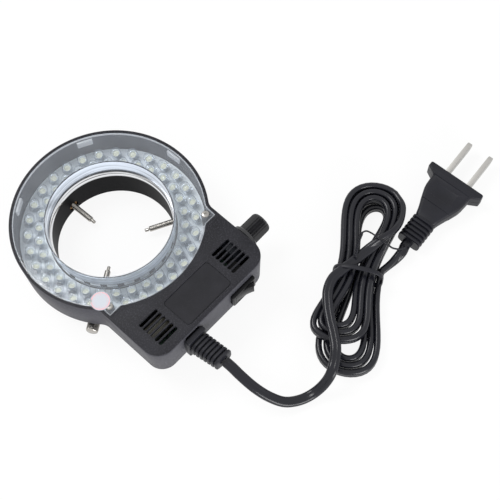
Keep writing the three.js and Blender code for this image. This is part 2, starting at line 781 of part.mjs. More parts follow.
// Place on the hank's line after a number of loops. It winds inwards in the upper layer,
// comes down at the waist and winds out again in the lower one.
function hankPoint(loops) {
  const rank = Math.min(loops, hankLoops - loops);
  const angle = (loops - 0.25) * turn;
  const along = Math.cos(angle);
  const square = 1 - along * along;
  const waist = hank.halfWaist - hank.pitch * rank;
  const lobe = hank.halfLobe - hank.pitch * rank;
  const lobeSquare = 1 - lobeShare ** 2;
  const ratio = lobe / Math.sqrt(lobeSquare) / waist;
  const pinch = (ratio - 1) / (ratio - lobeSquare);
  const width = (waist / (1 - pinch)) * (1 - pinch * square) * (1 - lowerSwell * along);
  const half = hank.halfLength - hank.pitch * rank;
  const down = THREE.MathUtils.smoothstep(loops, hankLoops / 2 - 0.16, hankLoops / 2 + 0.16);
  const u = half * along;
  const v = width * Math.sin(angle);
  return new THREE.Vector3(
    hank.x + u * Math.cos(hankAngle) - v * Math.sin(hankAngle),
    hank.y + u * Math.sin(hankAngle) + v * Math.cos(hankAngle),
    hankBase + hank.layer * (1 - down),
  );
}

// Flat twin cord as an unbroken tube. The roll turns it from standing on edge (0) to flat.
function cordGeometry(points, sides, roll = () => 0) {
  const rings = points.map((point, i) => {
    const before = points[Math.max(i - 1, 0)];
    const after = points[Math.min(i + 1, points.length - 1)];
    const ahead = after.clone().sub(before).normalize();
    const across = ahead.clone().cross(new THREE.Vector3(0, 0, 1)).normalize();
    const up = across.clone().cross(ahead);
    const lean = roll(i / (points.length - 1));
    return Array.from({ length: sides }, (_, k) => {
      const angle = ((k + 0.5) * turn) / sides;
      const wide = cord.halfThickness * Math.cos(angle);
      const high = cord.halfHeight * Math.sin(angle);
      const a = wide * Math.cos(lean) - high * Math.sin(lean);
      const b = wide * Math.sin(lean) + high * Math.cos(lean);
      return point.clone().addScaledVector(across, a).addScaledVector(up, b).toArray();
    });
  });
  const geometry = new THREE.BufferGeometry();
  const faces = [];
  for (let r = 0; r + 1 < rings.length; r += 1) {
    for (let k = 0; k < sides; k += 1) {
      const a = r * sides + k;
      const b = r * sides + ((k + 1) % sides);
      faces.push(a, b + sides, b, a, a + sides, b + sides);
    }
  }
  const last = (rings.length - 1) * sides;
  for (let k = 1; k + 1 < sides; k += 1) {
    faces.push(0, k, k + 1);
    faces.push(last, last + k + 1, last + k);
  }
  geometry.setAttribute('position', new THREE.Float32BufferAttribute(rings.flat(2), 3));
  geometry.setIndex(faces);
  geometry.computeVertexNormals();
  return geometry;
}

// Where the hank's first and last loops leave it
const hankEnd = 6.02;
const hankPoints = () => {
  const steps = Math.round((hankEnd - hankStart) * stepsInLoop);
  return Array.from({ length: steps + 1 }, (_, i) =>
    hankPoint(hankStart + ((hankEnd - hankStart) * i) / steps));
};

const spline = (points, steps) =>
  new THREE.CatmullRomCurve3(points, false, 'centripetal').getSpacedPoints(steps);
const toward = (from, to, distance) =>
  from.clone().add(to.clone().sub(from).normalize().multiplyScalar(distance));

// Height of the cord over the hank, lying flat and standing on edge
const onTop = hankBase + hank.layer + cord.halfHeight + cord.halfThickness + gap;
const onEdge = hankBase + hank.layer + 2 * cord.halfHeight + 2 * gap;

// Chosen by hand along the photographed cord, from the strain relief to the hank's waist
const leadRoute = [
  [93.5, -13.2, 18.9],
  [98.3, -13.2, 17.6],
  [106.7, -12.3, 14],
  [113.8, -9.9, 9.5],
  [119.7, -6, 5.5],
  [123.8, 0, 3.4],
  [126.3, 6.2, 3.8],
  [127.9, 12.6, 8.2],
  [127.4, 18.3, onTop],
  [121.9, 27, onTop],
  [116.6, 31.7, onTop],
  [109.6, 36.9, onTop],
  [104.5, 41.3, onTop],
  [99.4, 47.1, onTop],
  [97, 53.4, onTop],
  [97.4, 59.3, onTop],
  [98.6, 67, onTop],
  [99.6, 75.4, onTop],
  [101.2, 84, onEdge],
  [102.6, 92, onEdge],
];
const leadSteps = 60;
const leadSides = 8;
const leadJoin = [0.11, 0.135, 0.16];
const leadRoll = [0.74, 0.84];
const tailRoute = [
  [110.6, 84, 4.1],
  [110.7, 90, 5.6],
];
const tailSteps = 12;
const plugPlace = { x: 109.5, y: 96.3, z: 6.8 };
const plugAngle = 95.5 * deg;
const quarter = turn / 4;
const vectors = (route) => route.map((point) => new THREE.Vector3(...point));

function cordLead() {
  const start = new THREE.Vector3(relief.exitX + gap, relief.exitY, relief.z);
  const straight = start.clone().setX(start.x + 2 * cord.halfHeight);
  const first = hankPoint(hankStart);
  const second = hankPoints()[1];
  const ends = leadJoin.map((loops, i) => {
    const point = hankPoint(loops);
    const share = (i + 1) / (leadJoin.length + 1);
    return point.setZ(point.z + (onEdge - point.z) * (1 - share) ** 1.5);
  });
  const square = toward(first, second, -gap - cord.halfHeight);
  const end = toward(first, second, -gap);
  const points = spline([start, straight.setX(leadRoute[0][0] - cord.halfThickness),
    ...vectors(leadRoute), ...ends, square, end], leadSteps);
  const roll = (share) => quarter * (1 - THREE.MathUtils.smoothstep(share, ...leadRoll));
  return cordGeometry(points, leadSides, roll);
}

function cordTail() {
  const last = hankPoint(hankEnd);
  const before = hankPoint(hankEnd - 1 / stepsInLoop);
  const start = toward(last, before, -gap);
  const straight = toward(last, before, -gap - cord.halfHeight);
  const end = plugPoint(-gap);
  const points = spline([start, straight, ...vectors(tailRoute), plugPoint(-cord.halfHeight), end], tailSteps);
  const roll = (share) => quarter * THREE.MathUtils.smoothstep(share, 0.1, 0.9);
  return cordGeometry(points, leadSides, roll);
}

// Least gap between stretches of the hank that lie more than a third of a loop apart
function hankGap() {
  const points = hankPoints();
  const apart = Math.round(stepsInLoop / 3);
  const sides = 24;
  const oval = Array.from({ length: sides }, (_, k) => (k * turn) / sides);
  let least = Infinity;
  points.forEach((a, i) => {
    points.slice(i + apart).forEach((b) => {
      if (a.distanceTo(b) > hank.layer + hank.pitch) return;
      const line = b.clone().sub(a);
      const flat = Math.hypot(line.x, line.y);
      const slope = Math.atan2(Math.abs(line.z), flat);
      const reach = Math.max(...oval.map((angle) =>
        cord.halfThickness * Math.cos(angle) * Math.cos(slope) + cord.halfHeight * Math.sin(angle) * Math.sin(slope)));
      least = Math.min(least, line.length() - 2 * reach);
    });
  });
  return least;
}

function hankTie() {
  const right = hank.halfWaist + cord.halfThickness + 2 * gap;
  const left = right - hank.pitch / 2;
  const top = onTop + cord.halfThickness + gap;
  const shapeAt = (grow) => {
    const low = tie.thickness - grow;
    const foot = tie.footRound + grow;
    const crown = tie.crownRound + grow;
    const inner = grow;
    return [
      ...arc(right + inner - foot, low + foot, foot, -quarter, 0, 3),
      ...arc(right + inner - crown, top + inner - crown, crown, 0, quarter, 4),
      ...arc(-left - inner + crown, top + inner - crown, crown, quarter, 2 * quarter, 4),
      ...arc(-left - inner + foot, low + foot, foot, 2 * quarter, 3 * quarter, 3),
    ];
  };
  // Drawn across the hank, then stood upright at its waist
  const across = new THREE.Vector3(Math.sin(hankAngle), -Math.cos(hankAngle), 0);
  const up = new THREE.Vector3(0, 0, 1);
  const along = across.clone().cross(up);
  const standing = new THREE.Matrix4().makeBasis(across, up, along);
  const place = chain(at(hank.x, hank.y, 0), standing);
  return cut(
    prism(shapeAt(tie.thickness), [-tie.halfWidth, tie.halfWidth], place),
    prism(shapeAt(0), [-tie.halfWidth - overrun, tie.halfWidth + overrun], place),
  );
}

// Plug
const plug = {
  reliefHalf: 6.3,
  reliefHalfHeight: 4.9,
  reliefLength: 14.5,
  groove: 1.1,
  shoulderHalf: 6.9,
  bodyHalf: 11.3,
  bodyHalfHeight: 5.3,
  bodyEnd: 39.5,
  waistHalf: 10,
  flangeStart: 42.6,
  flangeEnd: 46.5,
  flangeHalf: 15.5,
  flangeHalfHeight: 6.7,
  flangeEdge: 0.8,
};
const plugRibs = 6;
const blade = { pitch: 12.7, halfWidth: 3.1, halfThickness: 0.75, end: 64, seat: 5 };
const plugMatrix = chain(at(plugPlace.x, plugPlace.y, plugPlace.z), about(plugAngle));

function plugPoint(distance) {
  return new THREE.Vector3(distance, 0, 0).applyMatrix4(plugMatrix);
}

function plugBody() {
  const ring = (x, half, halfHeight, round) => crossRing(x, 0, 0, half, halfHeight, round);
  const ribs = [];
  const pitch = plug.reliefLength / plugRibs;
  for (let i = 0; i < plugRibs; i += 1) {
    const x = i * pitch;
    const out = [plug.reliefHalf, plug.reliefHalfHeight];
    const low = out.map((half) => half - plug.groove);
    ribs.push(ring(x, ...(i ? low : out), 0.6));
    ribs.push(ring(x + pitch * 0.15, ...out, 0.6));
    ribs.push(ring(x + pitch * 0.6, ...out, 0.6));
    ribs.push(ring(x + pitch * 0.75, ...low, 0.6));
  }
  const swell = plug.bodyEnd - plug.reliefLength;
  const shoulders = [0, 0.2, 0.45, 0.7, 0.9, 1].map((share) => {
    const half = plug.shoulderHalf + (plug.bodyHalf - plug.shoulderHalf) * Math.sin(share * quarter);
    return ring(plug.reliefLength + swell * share, half, plug.bodyHalfHeight, 0.6);
  });
  const flange = [
    ring(plug.flangeStart, plug.waistHalf, plug.bodyHalfHeight, 0.6),
    ring(plug.flangeStart + snug, plug.flangeHalf - plug.flangeEdge, plug.flangeHalfHeight - plug.flangeEdge, 0.7),
    ring(plug.flangeStart + plug.flangeEdge, plug.flangeHalf, plug.flangeHalfHeight, 0.7),
    ring(plug.flangeEnd, plug.flangeHalf, plug.flangeHalfHeight, 0.7),
  ];
  const body = loftAcross([...ribs, ...shoulders, ...flange]);
  const seats = [1, -1].map((side) => bladeBlock(side, gap, [plug.flangeEnd - blade.seat - gap, blade.end]));
  return placed(cut(body, ...seats), plugMatrix);
}

function bladeBlock(side, grow, span) {
  const y = (side * blade.pitch) / 2;
  const half = blade.halfThickness + grow;
  return block(span, [y - half, y + half], [-blade.halfWidth - grow, blade.halfWidth + grow]);
}

// Flat blade with a round end
function plugPin(side) {
  const start = plug.flangeEnd - blade.seat;
  const shape = [
    [start, -blade.halfWidth],
    ...arc(blade.end - blade.halfWidth, 0, blade.halfWidth, -quarter, quarter, 8),
    [start, blade.halfWidth],
  ];
  const y = (side * blade.pitch) / 2;
  const stand = chain(plugMatrix, at(0, y, 0), new THREE.Matrix4().makeRotationX(quarter));
  return prism(shape, [-blade.halfThickness, blade.halfThickness], stand);
}

// Assembly
const device = [
  ['rear_housing', rearHousing(), 'shell'],
  ['clamp_collar', clampCollar(), 'shell'],
  ['box_cover', boxCover(), 'shell'],
  ['clear_cover', clearCover(), 'clear'],
  ['reflector_sleeve', reflectorSleeve(), 'chrome'],
  ['led_board', ledBoard(), 'lamps'],
  ['cover_screw_1', screwThroughEar(earScrew.y), 'steel'],
  ['cover_screw_2', screwThroughEar(-earScrew.y), 'steel'],
  ['seal_sticker', sealSticker(), 'paper'],
  ...clampAngles.flatMap((angle, i) => [
    [`thumbscrew_${i + 1}`, thumbscrew(angle), 'steel'],
    [`screw_point_${i + 1}`, screwPoint(angle), 'steel'],
    [`screw_insert_${i + 1}`, screwInsert(angle), 'brass'],
  ]),
  ['dimmer_knob', dimmerKnob(), 'knob'],
  ['potentiometer_shaft', dialShaft(), 'steel'],
  ['potentiometer_body', potentiometer(), 'steel'],
  ['potentiometer_nut', dialNut(), 'steel'],
  ['potentiometer_washer', dialWasher(), 'steel'],
  ['switch_body', switchBody(), 'gloss'],
  ['switch_rocker', switchRocker(), 'gloss'],
  ['strain_relief', strainRelief(), 'rubber'],
  ['driver_board', block([driver.start, driver.end], [driver.low, driver.high], [driver.base, driverTop]), 'green'],
  ['input_capacitor', onDriver(inputCapacitor), 'component'],
  ['smoothing_capacitor', canOnDriver(smoothingCapacitor), 'can'],
  ['choke', canOnDriver(choke), 'can'],
  ['rectifier', onDriver(rectifier), 'can'],
  ['dimmer_transistor', onDriver(transistor), 'can'],
];
device.forEach(([name, solid, material]) => add(name, solid, material));
const box = new THREE.Box3().setFromObject(group);

add('cord_lead', cordLead(), 'cord');
add('cord_hank', cordGeometry(hankPoints(), 6), 'cord');
add('cord_tail', cordTail(), 'cord');
add('hank_tie', hankTie(), 'cord');
add('plug_body', plugBody(), 'rubber');
add('plug_pin_1', plugPin(1), 'steel');
add('plug_pin_2', plugPin(-1), 'steel');
console.log(`least gap in the hank ${hankGap().toFixed(2)} mm`);

// The origin is under the middle of the light
group.children.forEach((mesh) => {
  mesh.position.set(-(box.min.x + box.max.x) / 2, -(box.min.y + box.max.y) / 2, -box.min.z);
});

export default group;
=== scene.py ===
import math

import bmesh
import bpy
from bpy.props import FloatProperty, FloatVectorProperty, IntProperty, PointerProperty
from mathutils import Matrix, Vector


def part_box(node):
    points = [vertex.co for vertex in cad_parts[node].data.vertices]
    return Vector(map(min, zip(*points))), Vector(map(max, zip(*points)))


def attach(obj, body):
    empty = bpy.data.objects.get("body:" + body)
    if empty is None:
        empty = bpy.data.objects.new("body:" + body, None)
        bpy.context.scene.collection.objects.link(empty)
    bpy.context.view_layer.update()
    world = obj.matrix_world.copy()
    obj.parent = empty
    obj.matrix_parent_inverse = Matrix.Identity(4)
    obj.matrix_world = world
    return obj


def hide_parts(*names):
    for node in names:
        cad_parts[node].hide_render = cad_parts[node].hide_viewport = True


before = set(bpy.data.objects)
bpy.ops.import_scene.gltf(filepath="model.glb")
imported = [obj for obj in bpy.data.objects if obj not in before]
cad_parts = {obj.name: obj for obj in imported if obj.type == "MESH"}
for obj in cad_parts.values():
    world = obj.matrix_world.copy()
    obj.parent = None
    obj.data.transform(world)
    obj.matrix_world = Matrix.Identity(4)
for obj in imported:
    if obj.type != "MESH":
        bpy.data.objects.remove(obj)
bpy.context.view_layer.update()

bl_info = {
    "name": "Microscope ring light",
    "version": (1, 0, 0),
    "blender": (4, 5, 0),
    "location": "View3D > Sidebar > Ring light",
    "description": "Builds a ring light with clamp screws, dimmer, switch and tied mains cord",
    "category": "Add Mesh",
}

TURN = 2 * math.pi
QUARTER = math.pi / 2
DEG = math.pi / 180
GAP = 0.0003
SKIN = 0.00005
OVERRUN = 0.001
ROUND = 144


def middle(node):
    low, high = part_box(node)
    return (Vector(low) + Vector(high)) / 2


# The ring's axis, from the sleeve that lines it
RING_X, RING_Y = middle("reflector_sleeve").xy


def length(name, note, default):
    return FloatProperty(name=name, description=note, default=default, unit="LENGTH", precision=5)


def angle(name, note, default):
    return FloatProperty(name=name, description=note, default=default * DEG, subtype="ANGLE")


def count(name, note, default):
    return IntProperty(name=name, description=note, default=default, min=1)


def colour(name, note, default):
    return FloatVectorProperty(
        name=name, description=note, default=default, subtype="COLOR", min=0, max=1
    )


class HousingSizes(bpy.types.PropertyGroup):
    ring_radius: length("Ring radius", "Outside of the ring at its rim", 0.0485)
    bore_radius: length("Bore radius", "Inside of the ring", 0.03)
    box_end: length("Box end", "From the ring's axis to the end wall", 0.0705)
    box_half: length("Box half width", "Half the width of the box", 0.0369)
    box_corner: length("Box corner", "Radius of the box's corners", 0.009)
    neck_fillet: length("Neck fillet", "Radius where ring and box meet", 0.0058)
    wall: length("Wall", "Thickness of the moulded walls", 0.00135)
    base: length("Base height", "Height of the clamp collar under the body", 0.0087)
    top: length("Top height", "Height of the rim over the surface", 0.03)
    skin: length("Floor thickness", "Thickness of the back plate", 0.002)
    draft: length("Draft", "How far the sides lean in from rim to foot", 0.0009)
    foot_edge: length("Foot edge", "Edge round the underside", 0.0004)
    collar_radius: length("Collar radius", "Outside of the clamp collar", 0.0353)
    bore_tube: length("Bore tube wall", "Thickness of the black wall round the bore", 0.0016)
    bore_wall_top: length("Bore wall top", "Height of the black wall round the bore", 0.0161)
    lid: length("Lid thickness", "Thickness of the box lid", 0.002)
    window: length("Window thickness", "Thickness of the clear window", 0.0015)
    window_inner: length("Window opening", "Radius of the window's opening", 0.0313)
    ear_end: length("Ear end", "Where the window's ears end", 0.0372)
    ear_x: length("Ear screw X", "Place of the ear screws along X", 0.0335)
    ear_y: length("Ear screw Y", "Place of the ear screws to each side", 0.0323)
    vents: count("Vent slots", "Slots in each group", 6)
    vent_pitch: length("Vent pitch", "Distance between slots", 0.00256)


class LightSizes(bpy.types.PropertyGroup):
    board_top: length("Board top", "Height of the board's face", 0.0155)
    board: length("Board thickness", "Thickness of the lamp board", 0.0016)
    board_inner: length("Board inner radius", "Inside of the lamp board", 0.032)
    board_radius: length("Board radius", "Outside of the lamp board", 0.0461)
    lamps: count("Lamps in a row", "Lamps in each of the two rows", 30)
    lamp_radius: length("Lamp radius", "Radius of a lamp's lens", 0.0025)
    lamp_top: length("Lamp top", "Height of the lens tips", 0.0237)
    outer_row: length("Outer row", "Radius of the outer row", 0.0421)
    inner_row: length("Inner row", "Radius of the inner row", 0.0368)
    outer_phase: angle("Outer row start", "Angle of the outer row's first lamp", 1.2)
    inner_phase: angle("Inner row start", "Angle of the inner row's first lamp", 7.2)


class FittingSizes(bpy.types.PropertyGroup):
    clamp_height: length("Clamp height", "Height of the clamp screws' axes", 0.0042)
    shaft_radius: length("Clamp shaft radius", "Radius of a clamp screw", 0.0015)
    head_radius: length("Clamp head radius", "Radius of a clamp screw's head", 0.003)
    point_end: length("Clamp point", "From the ring's axis to the screws' points", 0.015)
    head_start: length("Clamp head start", "From the ring's axis to the heads", 0.0418)
    head_end: length("Clamp head end", "From the ring's axis to the heads' ends", 0.0503)
    knurls: count("Knurls", "Ridges round a clamp screw's head", 28)
    dial_x: length("Dimmer X", "Place of the dimmer along X", 0.0527)
    dial_z: length("Dimmer Z", "Height of the dimmer's axis", 0.01935)
    knob_radius: length("Knob radius", "Radius of the knob's grip", 0.0055)
    knob_start: length("Knob start", "Near end of the knob's skirt", 0.0381)
    knob_end: length("Knob end", "Far end of the knob", 0.0513)
    flutes: count("Knob flutes", "Ridges round the knob's grip", 24)
    rocker_y: length("Switch Y", "Place of the switch along Y", 0.0182)
    rocker_z: length("Switch Z", "Height of the switch's middle", 0.01935)
    rocker_pivot: length("Rocker pivot", "Place of the rocker's pivot along X", 0.069)
    rocker_tilt: angle("Rocker tilt", "Tilt of the rocker at rest", 12)
    relief_y: length("Strain relief Y", "Place of the strain relief along Y", -0.0151)
    relief_exit: length("Strain relief end", "Where the cord leaves the strain relief", 0.089)
    relief_exit_y: length("Strain relief end Y", "Place of the cord there along Y", -0.0133)
    relief_ribs: count("Strain relief ribs", "Ribs along the strain relief", 7)


class CordSizes(bpy.types.PropertyGroup):
    half_width: length("Half width", "Half the width of the flat twin cord", 0.0026)
    half_thickness: length("Half thickness", "Half the thickness of the flat twin cord", 0.0016)
    loops: count("Loops", "Loops in the hank", 6)
    hank_half: length("Hank half length", "Half the length of the outer loop", 0.05)
    hank_waist: length("Hank waist", "Half the width of the outer loop at the tie", 0.0103)
    hank_lobe: length("Hank lobe", "Half the width of the outer loop's ends", 0.0169)
    hank_pitch: length("Hank pitch", "Distance between loops", 0.00372)
    waist_pitch: length("Waist pitch", "Distance between loops at the tie", 0.0032)
    hank_layer: length("Hank layer", "Height between the two layers", 0.0058)
    hank_angle: angle("Hank angle", "Direction of the hank from +X", 119.5)
    plug_angle: angle("Plug angle", "Direction of the plug from +X", 94.3)


class Finishes(bpy.types.PropertyGroup):
    shell: colour("Shell", "Moulded black plastic", (0.018, 0.018, 0.0215))
    knob: colour("Knob", "Knob and switch", (0.006, 0.006, 0.007))
    cord: colour("Cord", "Cord's jacket", (0.0072, 0.0075, 0.0115))
    board: colour("Board", "Lamp board's face", (0.8, 0.9, 1.0))
    phosphor: colour("Phosphor", "Phosphor in the lamps", (0.74, 0.75, 0.6))
    chrome: colour("Chrome", "Bright plated sleeve", (0.8, 0.81, 0.83))
    nickel: colour("Nickel", "Clamp screws and window screws", (0.46, 0.44, 0.41))
    seal: colour("Seal", "Paper seal", (0.53, 0.56, 0.61))


GROUPS = {
    "housing_sizes": HousingSizes,
    "light_sizes": LightSizes,
    "fitting_sizes": FittingSizes,
    "cord_sizes": CordSizes,
    "ring_finishes": Finishes,
}


def settings(group):
    return getattr(bpy.context.scene, group)


# Points and plain meshes
def arc(x, y, radius, start, end, steps):
    turns = [start + (end - start) * i / steps for i in range(steps + 1)]
    return [(x + radius * math.cos(a), y + radius * math.sin(a)) for a in turns]


def circle(radius, steps, x=0, y=0):
    return arc(x, y, radius, 0, TURN, steps)[:-1]


def rounded_box(half_x, half_y, radius, steps=5):
    corners = ((half_x, -half_y), (half_x, half_y), (-half_x, half_y), (-half_x, -half_y))
    points = []
    for i, (x, y) in enumerate(corners):
        centre = x - math.copysign(radius, x), y - math.copysign(radius, y)
        points += arc(*centre, radius, (i - 1) * QUARTER, i * QUARTER, steps)
    return points


def slot_outline(x, y, half_length, half_width):
    reach = half_length - half_width
    ahead = arc(x, y + reach, half_width, 0, 2 * QUARTER, 8)
    return ahead + arc(x, y - reach, half_width, 2 * QUARTER, TURN, 8)


def level(points, z):
    return [(x, y, z) for x, y in points]


def solid(points, faces):
    """A closed mesh with its doubles merged and its faces pointing outwards."""
    work = bmesh.new()
    corners = [work.verts.new(point) for point in points]
    for face in faces:
        work.faces.new([corners[i] for i in face])
    bmesh.ops.remove_doubles(work, verts=work.verts, dist=1e-7)
    bmesh.ops.recalc_face_normals(work, faces=work.faces)
    mesh = bpy.data.meshes.new("shape")
    work.to_mesh(mesh)
    work.free()
    return mesh


def loft(rings, endless=False):
    """Skin over a stack of closed rings; an endless stack joins its last ring to its first."""
    many = len(rings[0])
    points = [point for ring in rings for point in ring]
    faces = []
    for k in range(len(rings) - (not endless)):
        low, high = k * many, (k + 1) % len(rings) * many
        for i in range(many):
            j = (i + 1) % many
            faces.append((low + i, low + j, high + j, high + i))
    if not endless:
        faces.append(tuple(reversed(range(many))))
        faces.append(tuple(range(len(points) - many, len(points))))
    return solid(points, faces)


def spin(profile, sides=ROUND):
    """Solid of revolution about Z from a closed outline of (radius, height)."""
    rings = [[(r * c, r * s, z) for r, z in profile] for c, s in circle(1, sides)]
    return loft(rings, endless=True)


def turned(radius_at, steps, z):
    """A level ring whose radius is a function of the angle."""
    ring = []
    for k in range(steps):
        turn = TURN * k / steps
        ring.append((radius_at(turn) * math.cos(turn), radius_at(turn) * math.sin(turn), z))
    return ring


def wavy(radius, depth, waves, z, power=0.7):
    """A ring with ridges round it."""

    def radius_at(turn):
        return radius - depth * (0.5 - 0.5 * math.cos(turn * waves)) ** power

    return turned(radius_at, waves * 8, z)


def span(centre, half):
    return centre - half, centre + half


def post(radius, low, high, sides=32, x=0, y=0, top=None):
    top = radius if top is None else top
    return loft([level(circle(radius, sides, x, y), low), level(circle(top, sides, x, y), high)])


def prism(points, low, high):
    return loft([level(points, low), level(points, high)])


def block(span_x, span_y, span_z):
    (x0, x1), (y0, y1) = span_x, span_y
    return prism([(x0, y0), (x1, y0), (x1, y1), (x0, y1)], *span_z)


def moved(mesh, matrix):
    mesh.transform(matrix)
    return mesh


def at(x=0, y=0, z=0):
    return Matrix.Translation((x, y, z))


def about(turn, axis="Z"):
    return Matrix.Rotation(turn, 4, axis)


# Lay a piece that was made along +Z along +X, or along +Y
ALONG_X = about(QUARTER, "Y")
ALONG_Y = about(-QUARTER, "X")
# Stand a shape drawn in X and Y up across +X
ACROSS_X = Matrix(((0, 0, 1, 0), (1, 0, 0, 0), (0, 1, 0, 0), (0, 0, 0, 1)))
SEAT = at(RING_X, RING_Y)


def stand_in(mesh):
    obj = bpy.data.objects.new("shape", mesh)
    bpy.context.scene.collection.objects.link(obj)
    return obj


def baked(obj):
    """The mesh of an object with its modifiers applied; the object goes."""
    evaluated = obj.evaluated_get(bpy.context.evaluated_depsgraph_get())
    mesh = bpy.data.meshes.new_from_object(evaluated)
    bpy.data.objects.remove(obj)
    return mesh


def shape(base, join=(), cut=(), keep=()):
    """A solid with others joined to it, cut from it, or kept in common with it."""
    obj = stand_in(base)
    tools = []
    for operation, group in (("UNION", join), ("DIFFERENCE", cut), ("INTERSECT", keep)):
        for mesh in group:
            tool = stand_in(mesh)
            tool.hide_render = True
            tools.append(tool)
            step = obj.modifiers.new("step", "BOOLEAN")
            step.operation, step.object, step.solver = operation, tool, "MANIFOLD"
    mesh = baked(obj)
    for tool in tools:
        bpy.data.objects.remove(tool)
    if not mesh.polygons:
        raise RuntimeError("a solid came out empty")
    return mesh


def merged(meshes):
    """One mesh from several that lie apart."""
    work = bmesh.new()
    for mesh in meshes:
        work.from_mesh(mesh)
    mesh = bpy.data.meshes.new("shape")
    work.to_mesh(mesh)
    work.free()
    return mesh


def eased(mesh, width, segments=2, limit=35 * DEG):
    """The mesh with its sharp edges rounded."""
    obj = stand_in(mesh)
    edge = obj.modifiers.new("edge", "BEVEL")
    edge.width, edge.segments, edge.angle_limit = width, segments, limit
    edge.limit_method, edge.use_clamp_overlap = "ANGLE", True
    edge.miter_outer = "MITER_ARC"
    return baked(obj)


def piece(name, mesh, finish, stands_for="", body="light", sharp=40 * DEG, seat=True):
    """A finished piece at its place in the frame, riding on its body.

    It stands for the CAD nodes that a string names, and edges over the angle "sharp" stay sharp.
    """
    if seat:
        mesh.transform(SEAT)
    coat(mesh, finish)
    mesh.shade_smooth()
    mesh.set_sharp_from_angle(angle=sharp)
    mesh.name = name
    obj = bpy.data.objects.new(name, mesh)
    bpy.context.scene.collection.objects.link(obj)
    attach(obj, body)
    if stands_for:
        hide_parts(*stands_for.split())
    return obj


def coat(mesh, finish):
    mesh.materials.clear()
    mesh.materials.append(FINISHES[finish])


# Node trees
class Wire:
    """A socket in a node tree, whose arithmetic adds Math nodes."""

    def __init__(self, graph, socket):
        self.graph = graph
        self.socket = socket

    def __getitem__(self, name):
        return Wire(self.graph, self.socket.node.outputs[name])

    def math(self, operation, *values):
        return self.graph.node("ShaderNodeMath", {"operation": operation}, dict(enumerate(values)))

    def __add__(self, other):
        return self.math("ADD", self, other)

    def __sub__(self, other):
        return self.math("SUBTRACT", self, other)

    def __rsub__(self, other):
        return self.math("SUBTRACT", other, self)

    def __mul__(self, other):
        return self.math("MULTIPLY", self, other)

    def __truediv__(self, other):
        return self.math("DIVIDE", self, other)

    def __rtruediv__(self, other):
        return self.math("DIVIDE", other, self)

    def __pow__(self, other):
        return self.math("POWER", self, other)

    def __abs__(self):
        return self.math("ABSOLUTE", self)

    __radd__ = __add__
    __rmul__ = __mul__

    def fade(self, low, high):
        """Rises smoothly from 0 at low to 1 at high."""
        values = {"Value": self, "From Min": low, "From Max": high}
        return self.graph.node("ShaderNodeMapRange", {"interpolation_type": "SMOOTHSTEP"}, values)

    def band(self, middle, half, soft):
        """One inside a band round the middle value, fading to 0 outside it."""
        return 1 - abs(self - middle).fade(half, half + soft)


class Graph:
    """A node tree with the one way in which its nodes are added."""

    def __init__(self, tree):
        self.tree = tree

    def node(self, kind, options=None, values=None):
        made = self.tree.nodes.new(kind)
        for key, value in (options or {}).items():
            setattr(made, key, value)
        for key, value in (values or {}).items():
            if isinstance(value, Wire):
                self.tree.links.new(value.socket, made.inputs[key])
            else:
                made.inputs[key].default_value = value
        return Wire(self, made.outputs[0]) if made.outputs else None


class Finish(Graph):
    """A procedural material on Object coordinates."""

    def __init__(self, name):
        self.material = bpy.data.materials.new(name)
        self.material.use_nodes = True
        super().__init__(self.material.node_tree)
        self.tree.nodes.clear()
        self.place = self.node("ShaderNodeTexCoord")["Object"]

    def noise(self, scale, detail, roughness=0.5, place=None):
        values = {"Vector": place or self.place, "Scale": scale, "Detail": detail}
        return self.node("ShaderNodeTexNoise", {}, {**values, "Roughness": roughness})

    def mapped(self, scale, location=(0, 0, 0), place=None):
        """The place, or another, stretched by a scale and moved."""
        values = {"Vector": place or self.place, "Scale": scale, "Location": location}
        return self.node("ShaderNodeMapping", {"vector_type": "POINT"}, values)

    def axes(self, vector=None):
        """X, Y and Z of the place, or of another vector."""
        split = self.node("ShaderNodeSeparateXYZ", {}, {"Vector": vector or self.place})
        return split, split["Y"], split["Z"]

    def off_axis(self, x, y):
        """Both distances from an upright axis, and the radius about it."""
        across, along, _ = self.axes(self.mapped((1, 1, 1), (-x, -y, 0)))
        return across, along, (across * across + along * along) ** 0.5

    def blend(self, factor, first, second):
        """A colour between two, which may be wires or plain colours."""
        first, second = (c if isinstance(c, Wire) else (*c, 1) for c in (first, second))
        mix = self.node("ShaderNodeMix", {"data_type": "RGBA"}, {0: factor, 6: first, 7: second})
        return Wire(self, mix.socket.node.outputs[2])

    def shades(self, factor, tone, low, high):
        """A colour between two strengths of one tone."""
        return self.blend(factor, tuned(tone, low), tuned(tone, high))

    def bump(self, height, distance, strength=0.5):
        values = {"Height": height, "Distance": distance, "Strength": strength}
        return self.node("ShaderNodeBump", {}, values)

    def surface(self, **values):
        """The Principled shader; underscores in the names stand for spaces."""
        named = {}
        for key, value in values.items():
            plain = isinstance(value, tuple) and len(value) == 3
            named[key.replace("_", " ")] = (*value, 1) if plain else value
        return self.node("ShaderNodeBsdfPrincipled", {}, named)

    def done(self, shader):
        self.node("ShaderNodeOutputMaterial", {}, {"Surface": shader})
        return self.material

    def coated(self, **values):
        """The material with just the Principled shader."""
        return self.done(self.surface(**values))


FINISHES = {}


def tuned(tone, factor):
    return tuple(min(1.0, channel * factor) for channel in tone)


